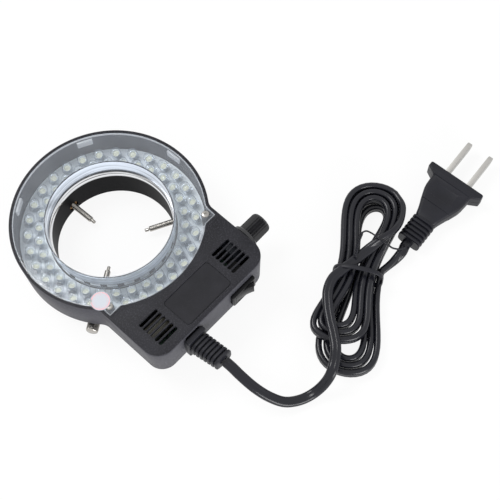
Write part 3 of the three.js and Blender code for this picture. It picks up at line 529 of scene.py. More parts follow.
def moulded(
    name, tone, roughness, gloss, grain=4200, depth=0.00002, painted_glint_share=0, sides=1, smooth=0
):
    """Moulded plastic or rubber: fine grain, faint mottling and a little handling dust.

    Painted glints speck the grain, painted light pales upright sides, and a floor at "smooth"
    glints less.
    """
    f = Finish(name)
    cloud = f.noise(70, 3)
    grain_noise = f.noise(grain, 2)
    dust = f.noise(900, 4, 0.7).fade(0.66, 0.8)
    shade = f.shades(cloud.fade(0.3, 0.7), tone, 0.82, 1.2)
    shade = f.blend(dust * 0.06, shade, tuned(tone, 4))
    # Painted glints: bright specks on the grain where light would catch it
    painted_glints = grain_noise.fade(0.5, 0.7) * painted_glint_share
    if smooth > 0:
        height = f.axes()[2]
        painted_glints = painted_glints * (1 - height.band(smooth, 0.00012, 0.00005) * 0.9)
    shade = f.blend(painted_glints, shade, tuned(tone, 3))
    # Painted light: upright sides paler than tops, as the light falls on them
    if sides > 1:
        up = f.axes(f.node("ShaderNodeTexCoord")["Normal"])[2]
        pale = f.shades(painted_glints, tone, sides, sides * 1.9)
        shade = f.blend((1 - abs(up)).fade(0.4, 0.95), shade, pale)
    return f.coated(
        Base_Color=shade,
        Roughness=roughness + (cloud - 0.5) * 0.16 + dust * 0.12,
        Normal=f.bump(grain_noise, depth, 0.6),
        IOR=1.5,
        Specular_IOR_Level=gloss,
    )


def plated(name, tone, roughness, scale=900, brushed=(1, 1, 1)):
    """Bright or nickel plated metal with fine brushing and slight tarnish."""
    f = Finish(name)
    lines = f.noise(scale, 3, 0.6, place=f.mapped(brushed))
    spots = f.noise(160, 3, 0.6).fade(0.5, 0.75)
    shade = f.blend(spots * 0.15, tone, tuned(tone, 0.55))
    rough = roughness + lines * 0.12 + spots * 0.08
    return f.coated(
        Base_Color=shade, Metallic=1.0, Roughness=rough, Normal=f.bump(lines, 0.00001)
    )


def chrome_with_painted_reflections(name, tone, depth, level, roughness, metal=1.0):
    """Bright metal with painted reflections: the darker rings that a polished tube mirrors."""
    f = Finish(name)
    rings = f.noise(1, 3, 0.6, place=f.mapped((14, 14, 700)))
    # Painted reflections: dark rings in the colour where the tube would mirror dark parts
    dark = rings.fade(level, level + 0.08)
    shade = f.blend(dark * depth, tone, tuned(tone, 0.14))
    return f.coated(Base_Color=shade, Metallic=metal, Roughness=roughness + rings * 0.1)


def clear(name, tint, thin, thick, roughness, edge=3.0, mirror=0.0):
    """Thin clear plastic: mostly see-through face on, glossier and milkier at a glancing angle."""
    f = Finish(name)
    facing = f.node("ShaderNodeLayerWeight", {}, {"Blend": 0.35})["Facing"]
    haze = f.noise(60, 3).fade(0.35, 0.75)
    rough = roughness + haze * 0.03
    body = f.surface(
        Base_Color=tint, Metallic=mirror, Roughness=rough, IOR=1.5, Specular_IOR_Level=1.0
    )
    empty = f.node("ShaderNodeBsdfTransparent", {}, {"Color": (0.995, 0.998, 1, 1)})
    share = thin + haze * 0.02 + facing**edge * (thick - thin)
    return f.done(f.node("ShaderNodeMixShader", {}, {0: share, 1: empty, 2: body}))


def jacket(name, tone):
    """Cord jacket: satin, with drawn lines that follow the cord and faint scuffs."""
    f = Finish(name)
    route = f.node("ShaderNodeUVMap", {"uv_map": "route"})
    lines = f.noise(6, 3, place=f.mapped((0.6, 40, 1), place=route))
    scuffs = f.noise(420, 4, 0.65).fade(0.6, 0.8)
    shade = f.shades(lines, tone, 0.8, 1.25)
    return f.coated(
        Base_Color=f.blend(scuffs * 0.2, shade, tuned(tone, 3)),
        Roughness=0.24 + scuffs * 0.18,
        Normal=f.bump(lines, 0.00003),
        IOR=1.5,
        Specular_IOR_Level=0.34,
    )


# Printed rings of the lamp board as radius, half width and strength
BOARD_RINGS = ((0.0395, 0.00045, 0.5), (0.0448, 0.0003, 0.5), (0.0335, 0.0003, 0.4))


def lamp_board(name, tone):
    """Lamp board: pale lacquer with printed copper rings."""
    f = Finish(name)
    radius = f.off_axis(RING_X, RING_Y)[2]
    rings = sum(radius.band(place, half, 0.0001) * share for place, half, share in BOARD_RINGS)
    weave = f.noise(1800, 2).fade(0.35, 0.7)
    cloud = f.noise(45, 3).fade(0.3, 0.7)
    shade = f.shades(cloud, tone, 0.92, 1.06)
    shade = f.blend(rings, shade, tuned(tone, 0.78))
    return f.coated(
        Base_Color=f.blend(weave * 0.12, shade, tuned(tone, 0.8)),
        Roughness=0.58 + weave * 0.1,
        Normal=f.bump(rings, 0.00004, 0.6),
        IOR=2.2,
        Specular_IOR_Level=1.0,
    )


def paper_seal(name, tone):
    """Paper seal: off-white, with a rosy printed rim and a faint crease."""
    f = Finish(name)
    x, y, radius = f.off_axis(*middle("seal_sticker").xy)
    worn = f.noise(900, 4, 0.7).fade(0.4, 0.6)
    ring = radius.band(0.0042, 0.00022, 0.0001) * (0.5 + worn * 0.5)
    fine = radius.band(0.0032, 0.0001, 0.00008) * worn * 0.6
    fibres = f.noise(2600, 3, 0.7, place=f.mapped((1, 0.35, 1)))
    crease = abs(x + y * 0.6 - 0.0006).fade(0, 0.00012)
    shade = f.blend(fibres.fade(0.4, 0.8) * 0.3, tone, tuned(tone, 0.86))
    shade = f.blend((ring + fine) * 0.8, shade, (0.85, 0.33, 0.36))
    return f.coated(Base_Color=shade, Roughness=0.62, Normal=f.bump(fibres + crease, 0.00003))


def speckled(name, tone):
    """The lamps' yellow phosphor, and their white cups."""
    f = Finish(name)
    speck = f.noise(2400, 3).fade(0.35, 0.7)
    shade = f.shades(speck, tone, 0.88, 1.1)
    return f.coated(Base_Color=shade, Roughness=0.4 + speck * 0.2)


def turned_brass(name):
    f = Finish(name)
    lines = f.noise(1500, 3, 0.6)
    shade = f.blend(lines, (0.16, 0.085, 0.03), (0.26, 0.14, 0.05))
    return f.coated(Base_Color=shade, Metallic=1.0, Roughness=0.28 + lines * 0.15)


def lacquered(name, tone, roughness=0.35):
    """Driver board and its parts."""
    f = Finish(name)
    cloud = f.noise(500, 3)
    shade = f.shades(cloud.fade(0.35, 0.65), tone, 0.8, 1.15)
    rough, normal = roughness + cloud * 0.1, f.bump(cloud, 0.00002, 0.4)
    return f.coated(Base_Color=shade, Roughness=rough, Normal=normal)


# Depth of the recess in the lid
PANEL_DEPTH = 0.0003


def make_finishes():
    c = settings("ring_finishes")
    shell, knob, cord = tuple(c.shell), tuple(c.knob), tuple(c.cord)
    recess = settings("housing_sizes").top - PANEL_DEPTH
    # The shell's grain, with painted glints and painted light that makes its sides paler
    grain_and_painted_light = {"grain": 1900, "depth": 0.00005, "painted_glint_share": 0.75, "sides": 2.9, "smooth": recess}
    FINISHES.update(
        shell=moulded("shell_plastic", shell, 0.46, 0.12, **grain_and_painted_light),
        collar=moulded("collar_plastic", tuned(shell, 0.28), 0.5, 0.06, grain=2600),
        knob=moulded("knob_plastic", tuned(knob, 2.4), 0.26, 0.6, grain=3000),
        gloss=moulded("switch_plastic", knob, 0.24, 0.14, depth=0.000008),
        rubber=moulded("soft_rubber", cord, 0.44, 0.28, grain=5200, depth=0.00003),
        jacket=jacket("cord_jacket", cord),
        window=clear("clear_window", (0.86, 0.92, 1.0), 0.065, 0.6, 0.04),
        # Opaque sleeve wall painted the pale blue of the lit board seen through clear plastic, with
        # painted reflections in rings
        sleeve=chrome_with_painted_reflections("sleeve_wall", (0.8, 0.88, 1.0), 0.5, 0.48, 0.12, 0.4),
        # Hazy clear plastic for the legs, and the painted highlight along the window's edge
        haze=clear("hazy_edge", (0.86, 0.89, 0.94), 0.36, 0.8, 0.12),
        lens=clear("clear_lens", (0.5, 0.57, 0.68), 0.08, 1.7, 0.05, 4.0, 0.7),
        chrome=chrome_with_painted_reflections("bright_chrome", tuple(c.chrome), 0.9, 0.46, 0.06),
        nickel=plated("nickel_plate", tuple(c.nickel), 0.16, 2200),
        blades=plated("plug_blades", (0.46, 0.45, 0.43), 0.4, 1600, (1, 0.12, 1)),
        steel=plated("zinc_steel", (0.55, 0.55, 0.54), 0.22),
        brass=turned_brass("turned_brass"),
        board=lamp_board("lamp_board", tuple(c.board)),
        bright=plated("window_screws", (0.34, 0.33, 0.31), 0.3),
        phosphor=speckled("lamp_phosphor", tuple(c.phosphor)),
        cup=speckled("lamp_cups", (0.84, 0.9, 0.98)),
        seal=paper_seal("paper_seal", tuple(c.seal)),
        driver=lacquered("driver_board", (0.015, 0.07, 0.035)),
        component=lacquered("dipped_component", (0.06, 0.055, 0.035)),
        can=lacquered("sleeved_component", (0.007, 0.011, 0.018), 0.55),
    )


def group_tree(name, **inputs):
    """A new tree of copies with its inputs, which hold the piece, its finish and a count."""
    tree = bpy.data.node_groups.new(name, "GeometryNodeTree")
    inputs = {"Piece": "Geometry", "Finish": "Material", "Count": "Int", **inputs}
    for label, kind in inputs.items():
        tree.interface.new_socket(name=label, in_out="INPUT", socket_type=f"NodeSocket{kind}")
    tree.interface.new_socket(name="Result", in_out="OUTPUT", socket_type="NodeSocketGeometry")
    graph = Graph(tree)
    start = graph.node("NodeGroupInput")
    return graph, {label: start[label] for label in inputs}


def place_copies(graph, given, position, rotation):
    """Copies of the piece at points of the given place and turn, made real and coated."""
    points = {"Count": given["Count"], "Position": position}
    spread = {"Points": graph.node("GeometryNodePoints", {}, points), "Instance": given["Piece"]}
    spread["Rotation"] = rotation
    copies = graph.node("GeometryNodeInstanceOnPoints", {}, spread)
    real = graph.node("GeometryNodeRealizeInstances", {}, {0: copies})
    coated = {"Geometry": real, "Material": given["Finish"]}
    done = graph.node("GeometryNodeSetMaterial", {}, coated)
    graph.node("NodeGroupOutput", {}, {"Result": done})
    return graph.tree


def ring_tree():
    """Copies round the Z axis, each turned to face outwards."""
    graph, given = group_tree("ring of copies", Start="Float")
    index = graph.node("GeometryNodeInputIndex")
    turn = index * TURN / given["Count"] + given["Start"]
    rotation = graph.node("ShaderNodeCombineXYZ", {}, {"Z": turn})
    return place_copies(graph, given, (0, 0, 0), rotation)


def row_tree():
    """Copies in a straight row."""
    graph, given = group_tree("row of copies", Step="Vector")
    values = {0: given["Step"], "Scale": graph.node("GeometryNodeInputIndex")}
    position = graph.node("ShaderNodeVectorMath", {"operation": "SCALE"}, values)
    return place_copies(graph, given, position, (0, 0, 0))


TREES = {}


def repeated(mesh, tree, finish, **inputs):
    """The mesh that a tree of copies makes of a piece."""
    if tree not in TREES:
        TREES[tree] = {"ring": ring_tree, "row": row_tree}[tree]()
    inputs["Finish"] = FINISHES[finish]
    obj = stand_in(mesh)
    copies = obj.modifiers.new("copies", "NODES")
    copies.node_group = TREES[tree]
    for item in TREES[tree].interface.items_tree:
        if item.name in inputs:
            copies[item.identifier] = inputs[item.name]
    return baked(obj)


# Outline of ring and box seen from above, set in by a distance
def outline(inset):
    h = settings("housing_sizes")
    radius, half = h.ring_radius - inset, h.box_half - inset
    fillet, corner = h.neck_fillet + inset, h.box_corner - inset
    end_x = h.box_end - inset - corner
    fillet_y = h.box_half + h.neck_fillet
    fillet_x = math.sqrt((h.ring_radius + h.neck_fillet) ** 2 - fillet_y**2)
    meet = math.atan2(fillet_y, fillet_x)
    return (
        arc(end_x, half - corner, corner, 0, QUARTER, 14)
        + arc(fillet_x, fillet_y, fillet, 3 * QUARTER, 2 * QUARTER + meet, 10)[:-1]
        + arc(0, 0, radius, meet, TURN - meet, 120)[:-1]
        + arc(fillet_x, -fillet_y, fillet, 2 * QUARTER - meet, QUARTER, 10)
        + arc(end_x, corner - half, corner, -QUARTER, 0, 14)
    )


def draft_at(z):
    """How far the sides lean in at a height."""
    h = settings("housing_sizes")
    return h.draft * (h.top - z) / (h.top - h.base - h.foot_edge)


def stacked(*layers):
    """Skin over outlines, each set in by a distance at a height."""
    return loft([level(outline(inset), z) for inset, z in layers])


def leaning(inset, low, high):
    return stacked(*((inset + draft_at(z), z) for z in (low, high)))


def upright(inset, low, high):
    return stacked((inset, low), (inset, high))


def tray_fill(inset, ear_limit, low, high, lean=False):
    """The lit tray with its two ears, as the solid that would fill it."""
    h = settings("housing_sizes")
    at_low, at_high = (inset + draft_at(z) * lean for z in (low, high))
    ring = post(h.ring_radius - at_low, low, high, ROUND, top=h.ring_radius - at_high)
    body = (leaning if lean else upright)(inset, low, high)
    room = block((0, ear_limit), span(0, h.ring_radius), (low - OVERRUN, high + OVERRUN))
    return shape(ring, join=[shape(body, keep=[room])])


def at_ears(radius, low, high, sides):
    """A post on the axis of each ear's screw."""
    h = settings("housing_sizes")
    return [post(radius, low, high, sides, h.ear_x, side * h.ear_y) for side in (1, -1)]


def radial(turn):
    """Lays a clamp piece made along +Z outwards at its angle and height."""
    return about(turn) @ at(z=settings("fitting_sizes").clamp_height) @ ALONG_X


def along_dial():
    """Lays a piece made along +Z on the dimmer's axis."""
    f = settings("fitting_sizes")
    return at(f.dial_x, 0, f.dial_z) @ ALONG_Y


# Directions of the three clamp screws
CLAMP_ANGLES = (182 * DEG, 62 * DEG, -58 * DEG)
# Degrees round the ring at which the window's legs and the board's posts stand
STOP_ANGLES = (152, 92, 32, -28, -88, -147)
# The ear screws' holes, heads and length below the window, and the height of a head
SCREW_HOLE, SCREW_HEAD, SCREW_REACH, HEAD_HIGH = 0.0013, 0.00195, 0.0062, 0.00095


class RINGLIGHT_OT_finishes(bpy.types.Operator):
    """Make every material of the ring light"""

    bl_idname = "ringlight.finishes"
    bl_label = "Finishes"

    def execute(self, context):
        make_finishes()
        return {"FINISHED"}


class RINGLIGHT_OT_stage(bpy.types.Operator):
    """Lay the white floor, hang the lamps and set up the camera"""

    bl_idname = "ringlight.stage"
    bl_label = "Stage"

    def execute(self, context):
        scene = context.scene
        scene.view_settings.view_transform = "Standard"
        self.floor()
        self.world(scene)
        self.lamp("key", (-0.42, -0.12, 0.75), size=0.35, watts=3.6)
        self.lamp("side", (0.95, -0.3, 0.28), size=0.5, watts=7.0)
        self.camera(scene)
        return {"FINISHED"}

    def floor(self):
        f = Finish("white_floor")
        seen = self.seen(f)
        plain = f.node("ShaderNodeBsdfDiffuse", {}, {"Color": (0.9, 0.9, 0.9, 1)})
        glow = f.node("ShaderNodeEmission", {}, {"Color": (1, 1, 1, 1), "Strength": 1.0})
        material = f.done(f.node("ShaderNodeMixShader", {}, {0: seen * 0.9, 1: plain, 2: glow}))
        half, sunk = 2, -2 * SKIN
        corners = ((-half, -half), (half, -half), (half, half), (-half, half))
        mesh = solid(level(corners, sunk), [(0, 1, 2, 3)])
        mesh.materials.append(material)
        floor = bpy.data.objects.new("floor", mesh)
        bpy.context.scene.collection.objects.link(floor)

    @staticmethod
    def seen(graph):
        """One for rays from the camera, from gloss and through glass."""
        rays = graph.node("ShaderNodeLightPath")
        either = rays["Is Camera Ray"].math("MAXIMUM", rays["Is Camera Ray"], rays["Is Glossy Ray"])
        return either.math("MAXIMUM", either, rays["Is Transmission Ray"])

    def world(self, scene):
        world = bpy.data.worlds.new("studio")
        scene.world = world
        world.use_nodes = True
        graph = Graph(world.node_tree)
        world.node_tree.nodes.clear()
        strength = 0.74 + self.seen(graph) * 0.26
        sky = graph.node("ShaderNodeBackground", {}, {"Color": (1, 1, 1, 1), "Strength": strength})
        graph.node("ShaderNodeOutputWorld", {}, {"Surface": sky})

    def lamp(self, name, offset, size, watts):
        light = bpy.data.lights.new(name, "AREA")
        light.size, light.energy = size, watts
        lamp = bpy.data.objects.new(name, light)
        bpy.context.scene.collection.objects.link(lamp)
        aim = Vector((RING_X + 0.03, RING_Y + 0.02, 0))
        lamp.location = aim + Vector(offset)
        lamp.rotation_euler = (aim - lamp.location).to_track_quat("-Z", "Y").to_euler()

    def camera(self, scene):
        turn, lift, roll = 0.8189, 1.1308, -0.0770
        distance, aim = 0.560363, Vector((RING_X + 0.0552724, RING_Y + 0.03939, 0.0087))
        flat = math.cos(lift)
        back = Vector((math.sin(turn) * flat, -math.cos(turn) * flat, math.sin(lift)))
        right = (-back).cross(Vector((0, 0, 1))).normalized()
        up = right.cross(-back)
        across = right * math.cos(roll) + up * math.sin(roll)
        over = up * math.cos(roll) - right * math.sin(roll)
        eye = aim + back * distance
        lens = bpy.data.cameras.new("camera")
        lens.lens, lens.sensor_width = 81.757, 36
        lens.clip_start, lens.clip_end = 0.01, 20
        camera = bpy.data.objects.new("camera", lens)
        camera.matrix_world = Matrix(
            [(across[i], over[i], back[i], eye[i]) for i in range(3)] + [(0, 0, 0, 1)]
        )
        scene.collection.objects.link(camera)
        scene.camera = camera


# The cord's routes are in millimetres from the ring's axis, where a height of 0 lies on the hank.
# The other values here are in metres
MM = 0.001
HANK_AT = Vector((0.104, 0.0654, 0))
TIE_THICK = 0.0009
HANK_START, HANK_END = 0.2, 6.02
UPPER_SHORT, UPPER_SHIFT, LOWER_SHIFT, LOWER_SWING = 0.0115, 0.0055, 0.00165, 0.0035
LOBE_LESS, TOP_SWING, LAY = (0.0017, 0.0009), 0.0024, 0.94
# Where a loop is widest, how much wider one end is, and the parts of a loop from its end to the
# waist and on the way down
WIDEST, TAPER, TO_WAIST, LEAD_DOWN = 0.65, 0.03, 0.25, 0.16
LEAD_ROUTE = (
    (93.5, -13.2, 18.9),
    (98.3, -13.2, 17.6),
    (106.7, -12.3, 14),
    (113.8, -9.9, 9.5),
    (119.7, -6, 5.5),
    (123.8, 0, 3.4),
    (126.3, 6.2, 3.8),
    (127.9, 12.6, 8.2),
    (127.4, 18.3, 0),
    (121.9, 27, 0),
    (116.6, 31.7, 0),
    (109.6, 36.9, 0),
    (104.5, 41.3, 0),
    (99.4, 47.1, 0),
    (97, 53.4, 0),
    (97.4, 59.3, 0),
    (98.6, 67, 0),
    (99.6, 75.4, 0),
)
LEAD_ENDS = ((101.2, 84), (102.6, 92))
LEAD_JOIN = (0.11, 0.135, 0.16)
TAIL_ROUTE = ((110.6, 84, 4.1), (110.7, 90, 5.6))
PLUG_AT = Vector((0.10934, 0.09626, 0.0052))
PLUG_ROLL, PLUG_PITCH = 3.1 * DEG, -1.7 * DEG


def rise(value, low, high):
    share = min(1, max(0, (value - low) / (high - low)))
    return share * share * (3 - 2 * share)


def heights():
    """Heights of the lower layer, and of the cord over the hank, lying and on its edge."""
    c = settings("cord_sizes")
    base = TIE_THICK + GAP + c.half_width
    lying = base + c.hank_layer + c.half_width + c.half_thickness + GAP
    return base, lying, base + c.hank_layer + 2 * c.half_width + 2 * GAP


def hank_point(loops):
    """A point on the hank: inwards in the upper layer, down at the waist, out again below."""
    c = settings("cord_sizes")
    rank = min(loops, c.loops - loops)
    turn = (loops - TO_WAIST) * TURN
    along = math.cos(turn)
    square = 1 - along * along
    low_end = (1 - along) / 2
    waist = c.hank_waist - c.waist_pitch * rank
    lobe = c.hank_lobe - c.hank_pitch * rank * LAY - LOBE_LESS[0] - LOBE_LESS[1] * low_end
    lobe_square = 1 - WIDEST**2
    ratio = lobe / math.sqrt(lobe_square) / waist
    pinch = (ratio - 1) / (ratio - lobe_square)
    width = waist / (1 - pinch) * (1 - pinch * square) * (1 - TAPER * along)
    down = rise(loops, *span(c.loops / 2, LEAD_DOWN))
    half = c.hank_half - c.hank_pitch * rank * LAY - UPPER_SHORT * low_end * (1 - down)
    lower = LOWER_SHIFT - LOWER_SWING * low_end**2 - (LOWER_SHIFT + TOP_SWING) * (1 - low_end) ** 4
    aside = lower * down + UPPER_SHIFT * low_end**2 * (1 - down)
    across = width * math.sin(turn) + aside
    point = Vector((half * along, across, heights()[0] + c.hank_layer * (1 - down)))
    return HANK_AT + about(c.hank_angle) @ point


def even_curve(points, steps):
    """Points evenly spaced along a centripetal spline through the given ones."""
    ends = [points[0] * 2 - points[1], *points, points[-1] * 2 - points[-2]]
    fine, parts = [], 30
    for before, a, b, after in zip(ends, ends[1:], ends[2:], ends[3:]):
        first, mid, last = ((q - p).length ** 0.5 for p, q in ((before, a), (a, b), (b, after)))
        leave = ((a - before) / first - (b - before) / (first + mid)) * mid + (b - a)
        arrive = (b - a) - ((after - a) / (mid + last) - (after - b) / last) * mid
        for i in range(parts):
            t = i / parts
            curl, bend = leave + arrive + (a - b) * 2, (b - a) * 3 - leave * 2 - arrive
            fine.append(a + (leave + (bend + curl * t) * t) * t)
    fine.append(points[-1])
    reach, result, k = distances(fine), [], 0
    for i in range(steps + 1):
        goal = reach[-1] * i / steps
        while k < len(fine) - 2 and reach[k + 1] < goal:
            k += 1
        share = (goal - reach[k]) / (reach[k + 1] - reach[k])
        result.append(fine[k].lerp(fine[k + 1], share))
    return result


def distances(points):
    """How far along a line each of its points is."""
    reach = [0.0]
    for a, b in zip(points, points[1:]):
        reach.append(reach[-1] + (b - a).length)
    return reach


def heading(points, i):
    """The run of a line at one of its points, with the directions across it and up."""
    before, after = points[max(i - 1, 0)], points[min(i + 1, len(points) - 1)]
    ahead = (after - before).normalized()
    across = ahead.cross(Vector((0, 0, 1))).normalized()
    return ahead, across, across.cross(ahead)


def plug_place():
    turn = about(settings("cord_sizes").plug_angle)
    return at(*PLUG_AT) @ turn @ about(PLUG_PITCH, "Y") @ about(PLUG_ROLL, "X")


def cord_run():
    """The cord's centre line and its roll at each point, from the strain relief to the plug."""
    c, f = settings("cord_sizes"), settings("fitting_sizes")
    _, lying, on_edge = heights()
    lead_steps, tail_steps, loop_steps = 380, 60, 72
    route = [Vector((f.relief_exit, f.relief_exit_y, f.dial_z))]
    route += [Vector((x * MM, y * MM, z * MM or lying)) for x, y, z in LEAD_ROUTE]
    route += [Vector((x * MM, y * MM, on_edge)) for x, y in LEAD_ENDS]
    for i, loops in enumerate(LEAD_JOIN):
        point = hank_point(loops)
        share = (i + 1) / (len(LEAD_JOIN) + 1)
        point.z += (on_edge - point.z) * (1 - share) ** 1.5
        route.append(point)
    lead = even_curve([*route, hank_point(HANK_START)], lead_steps)
    rolls = [QUARTER * (1 - rise(i / lead_steps, 0.74, 0.84)) for i in range(lead_steps + 1)]
    turns = HANK_END - HANK_START
    steps = round(turns * loop_steps)
    hank = [hank_point(HANK_START + turns * i / steps) for i in range(1, steps + 1)]
    rolls += [0.0] * steps
    tail = [hank[-1], *(Vector(point) * MM for point in TAIL_ROUTE)]
    tail += [plug_place() @ Vector((x, 0, 0)) for x in (-c.half_width, 0.002)]
    end = even_curve(tail, tail_steps)[1:]
    rolls += [QUARTER * rise(i / tail_steps, 0.1, 0.9) for i in range(1, tail_steps + 1)]
    return [SEAT @ point for point in lead + hank + end], rolls


def cord_section():
    """Outline of the flat twin cord: two round cores side by side."""
    c = settings("cord_sizes")
    apart, core = c.half_width - c.half_thickness, c.half_thickness
    meet = math.asin(apart / core)
    upper = arc(0, apart, core, -meet, 2 * QUARTER + meet, 10)
    return upper[:-1] + arc(0, -apart, core, 2 * QUARTER - meet, TURN + meet, 10)[:-1]


def tube(points, rolls, section):
    """A tube along points, with its route and its girth as its UV map."""
    rings, reach = [], distances(points)
    for i, point in enumerate(points):
        _, across, up = heading(points, i)
        c, s = math.cos(rolls[i]), math.sin(rolls[i])
        rings.append([point + across * (a * c - b * s) + up * (a * s + b * c) for a, b in section])
    many = len(section)
    faces, places = [], []
    for r in range(len(rings) - 1):
        for k in range(many):
            a, b = r * many + k, r * many + (k + 1) % many
            faces.append((a, a + many, b + many, b))
            low, high = k / many, (k + 1) / many
            places += [(reach[r], low), (reach[r + 1], low), (reach[r + 1], high), (reach[r], high)]
    last = (len(rings) - 1) * many
    for cap in (tuple(range(many)), tuple(range(last + many - 1, last - 1, -1))):
        faces.append(cap)
        places += [(0, 0)] * many
    mesh = bpy.data.meshes.new("shape")
    mesh.from_pydata([tuple(p) for ring in rings for p in ring], [], faces)
    flat = [value for place in places for value in place]
    mesh.uv_layers.new(name="route").uv.foreach_set("vector", flat)
    return mesh


class RINGLIGHT_OT_cord(bpy.types.Operator):
    """Run the flat twin cord from the strain relief through its tied hank to the plug"""

    bl_idname = "ringlight.cord"
    bl_label = "Cord, tie and plug"

    def execute(self, context):
        points, rolls = cord_run()
        nodes = "cord_lead cord_hank cord_tail"
        line = tube(points, rolls, cord_section())
        cord = piece("mains_cord", line, "jacket", nodes, sharp=60 * DEG, seat=False)
        ties = [self.tie(), self.twist()]
        plug = [self.plug_body()]
        plug += [self.blade(i + 1, side) for i, side in enumerate((1, -1))]
        distances(points)[-1]
        2 * settings("cord_sizes").half_width
        return {"FINISHED"}

    def across(self):
        """Stands a shape drawn across the hank upright on its line."""
        side = about(settings("cord_sizes").hank_angle)
        return at(*HANK_AT) @ side @ Matrix.Diagonal((1, -1, 1, 1)) @ ACROSS_X

    def tie(self):
        """The tie's turn round the hank, flat below and crowned over the cord on top."""
        c = settings("cord_sizes")
        half_thick, half_wide, steps, crown, base = TIE_THICK / 2, 0.0012, 96, 2.7, 7
        reach = c.hank_waist + c.half_thickness - LOWER_SHIFT / 2 + 2 * GAP + half_thick
        low, high = half_thick, heights()[1] + c.half_thickness + GAP + half_thick
        centre, half = (low + high) / 2, (high - low) / 2
        loop = []
        for turn in (TURN * i / steps for i in range(steps)):
            power = 2 / (crown if math.sin(turn) > 0 else base)
            x, y = (math.copysign(abs(v) ** power, v) for v in (math.cos(turn), math.sin(turn)))
            loop.append((x * reach - LOWER_SHIFT / 2, centre + y * half))
        oval = [(half_thick * x, half_wide * y) for x, y in circle(1, 14)]
        rings = []
        for i, (x, y) in enumerate(loop):
            before, after = loop[i - 1], loop[(i + 1) % steps]
            run = Vector((after[0] - before[0], after[1] - before[1])).normalized()
            rings.append([(x + run.y * out, y - run.x * out, along) for out, along in oval])
        band = moved(loft(rings, endless=True), self.across())
        return piece("hank_band", band, "rubber", "hank_tie", sharp=60 * DEG)

    def twist(self):
        """The tie's two ends twisted together, and the longer one led on to the plug."""
        wire, spread, turns, steps, free_steps = 0.00045, 0.0005, 5, 90, 80
        section = circle(wire, 8)
        core, free = (
            even_curve([Vector(point) * MM for point in route], parts)
            for route, parts in ((TWIST_ROUTE, steps), (FREE_END_ROUTE, free_steps))
        )
        lines = [[], [], free]
        for line, phase in zip(lines, (0, 2 * QUARTER)):
            for i, point in enumerate(core):
                _, across, up = heading(core, i)
                turn = phase + TURN * turns * i / steps
                line.append(point + (across * math.cos(turn) + up * math.sin(turn)) * spread)
        strands = [tube(line, [0.0] * len(line), section) for line in lines]
        return piece("tie_ends", merged(strands), "rubber", sharp=60 * DEG)

    def plug_body(self):
        """The plug's ribbed neck and its body, with the seats of the blades and a seam."""
        half, high, deep, ribs, reach = 0.0061, 0.0044, 0.0011, 6, 0.0142
        pitch = reach / ribs
        rings = []
        for i in range(ribs):
            first = (0, 0.12 if i == 0 else 1)
            for step, cut in (first, (0.07, 0.35), (0.16, 0), (0.56, 0), (0.66, 0.35), (0.74, 1)):
                size = half - cut * deep, high - cut * deep
                rings.append(cross_ring(i * pitch + pitch * step, *size, 0.6))
        rings += [cross_ring(x * MM, y * MM, z * MM, corner) for x, y, z, corner in PLUG_SHAPE]
        panel_at, panel_half, panel_z, seam_deep = (0.026, 0.0345), 0.0062, (0.00405, 0.006), 0.25
        panel = eased(block(panel_at, span(0, panel_half), panel_z), 0.001, 3)
        side_line = [(x * MM, (y - seam_deep) * MM) for x, y, _, _ in PLUG_SHAPE]
        side_line += [(x, -y) for x, y in reversed(side_line)]
        first, last = PLUG_SHAPE[0][0] * MM, PLUG_SHAPE[-1][0] * MM
        seam_half, beyond = 0.00013, 0.02
        seam = block((first + SKIN, last - SKIN), span(0, beyond), span(0, seam_half))
        seam = shape(seam, cut=[prism(side_line, *span(0, OVERRUN))])
        seats = [self.blade_room(side) for side in (1, -1)]
        body = moved(shape(loft(rings), cut=[*seats, panel, seam]), plug_place())
        return piece("mains_plug", body, "rubber", "plug_body", sharp=32 * DEG)

    def blade_room(self, side):
        """The seat that a blade stands in."""
        floor, end, half_thick, half_wide = 0.0395, 0.07, 0.00135, 0.0037
        return block((floor, end), span(side * BLADE_OFF, half_thick), span(0, half_wide))

    def blade(self, number, side):
        """A flat blade with a round end and the fold line that its sheet leaves along it."""
        half, start, end = 0.0034, 0.04, 0.064
        thick, line, fold_at, fold_end = 0.00115, 0.00018, 0.0021, 0.003
        ends = arc(end - half, 0, half, -QUARTER, QUARTER, 20)
        blade = prism([(start, -half), *ends, (start, half)], -thick, thick)
        fold = [
            block((start + fold_end, end - fold_end), span(fold_at, line), span(z, line))
            for z in (-thick, thick)
        ]
        blade = shape(eased(blade, 0.0002), cut=fold)
        stand = plug_place() @ at(y=side * BLADE_OFF) @ about(QUARTER, "X")
        name = f"plug_blade_{number}"
        return piece(name, moved(blade, stand), "blades", f"plug_pin_{number}")


# Half the distance between the plug's blades
BLADE_OFF = 0.00635
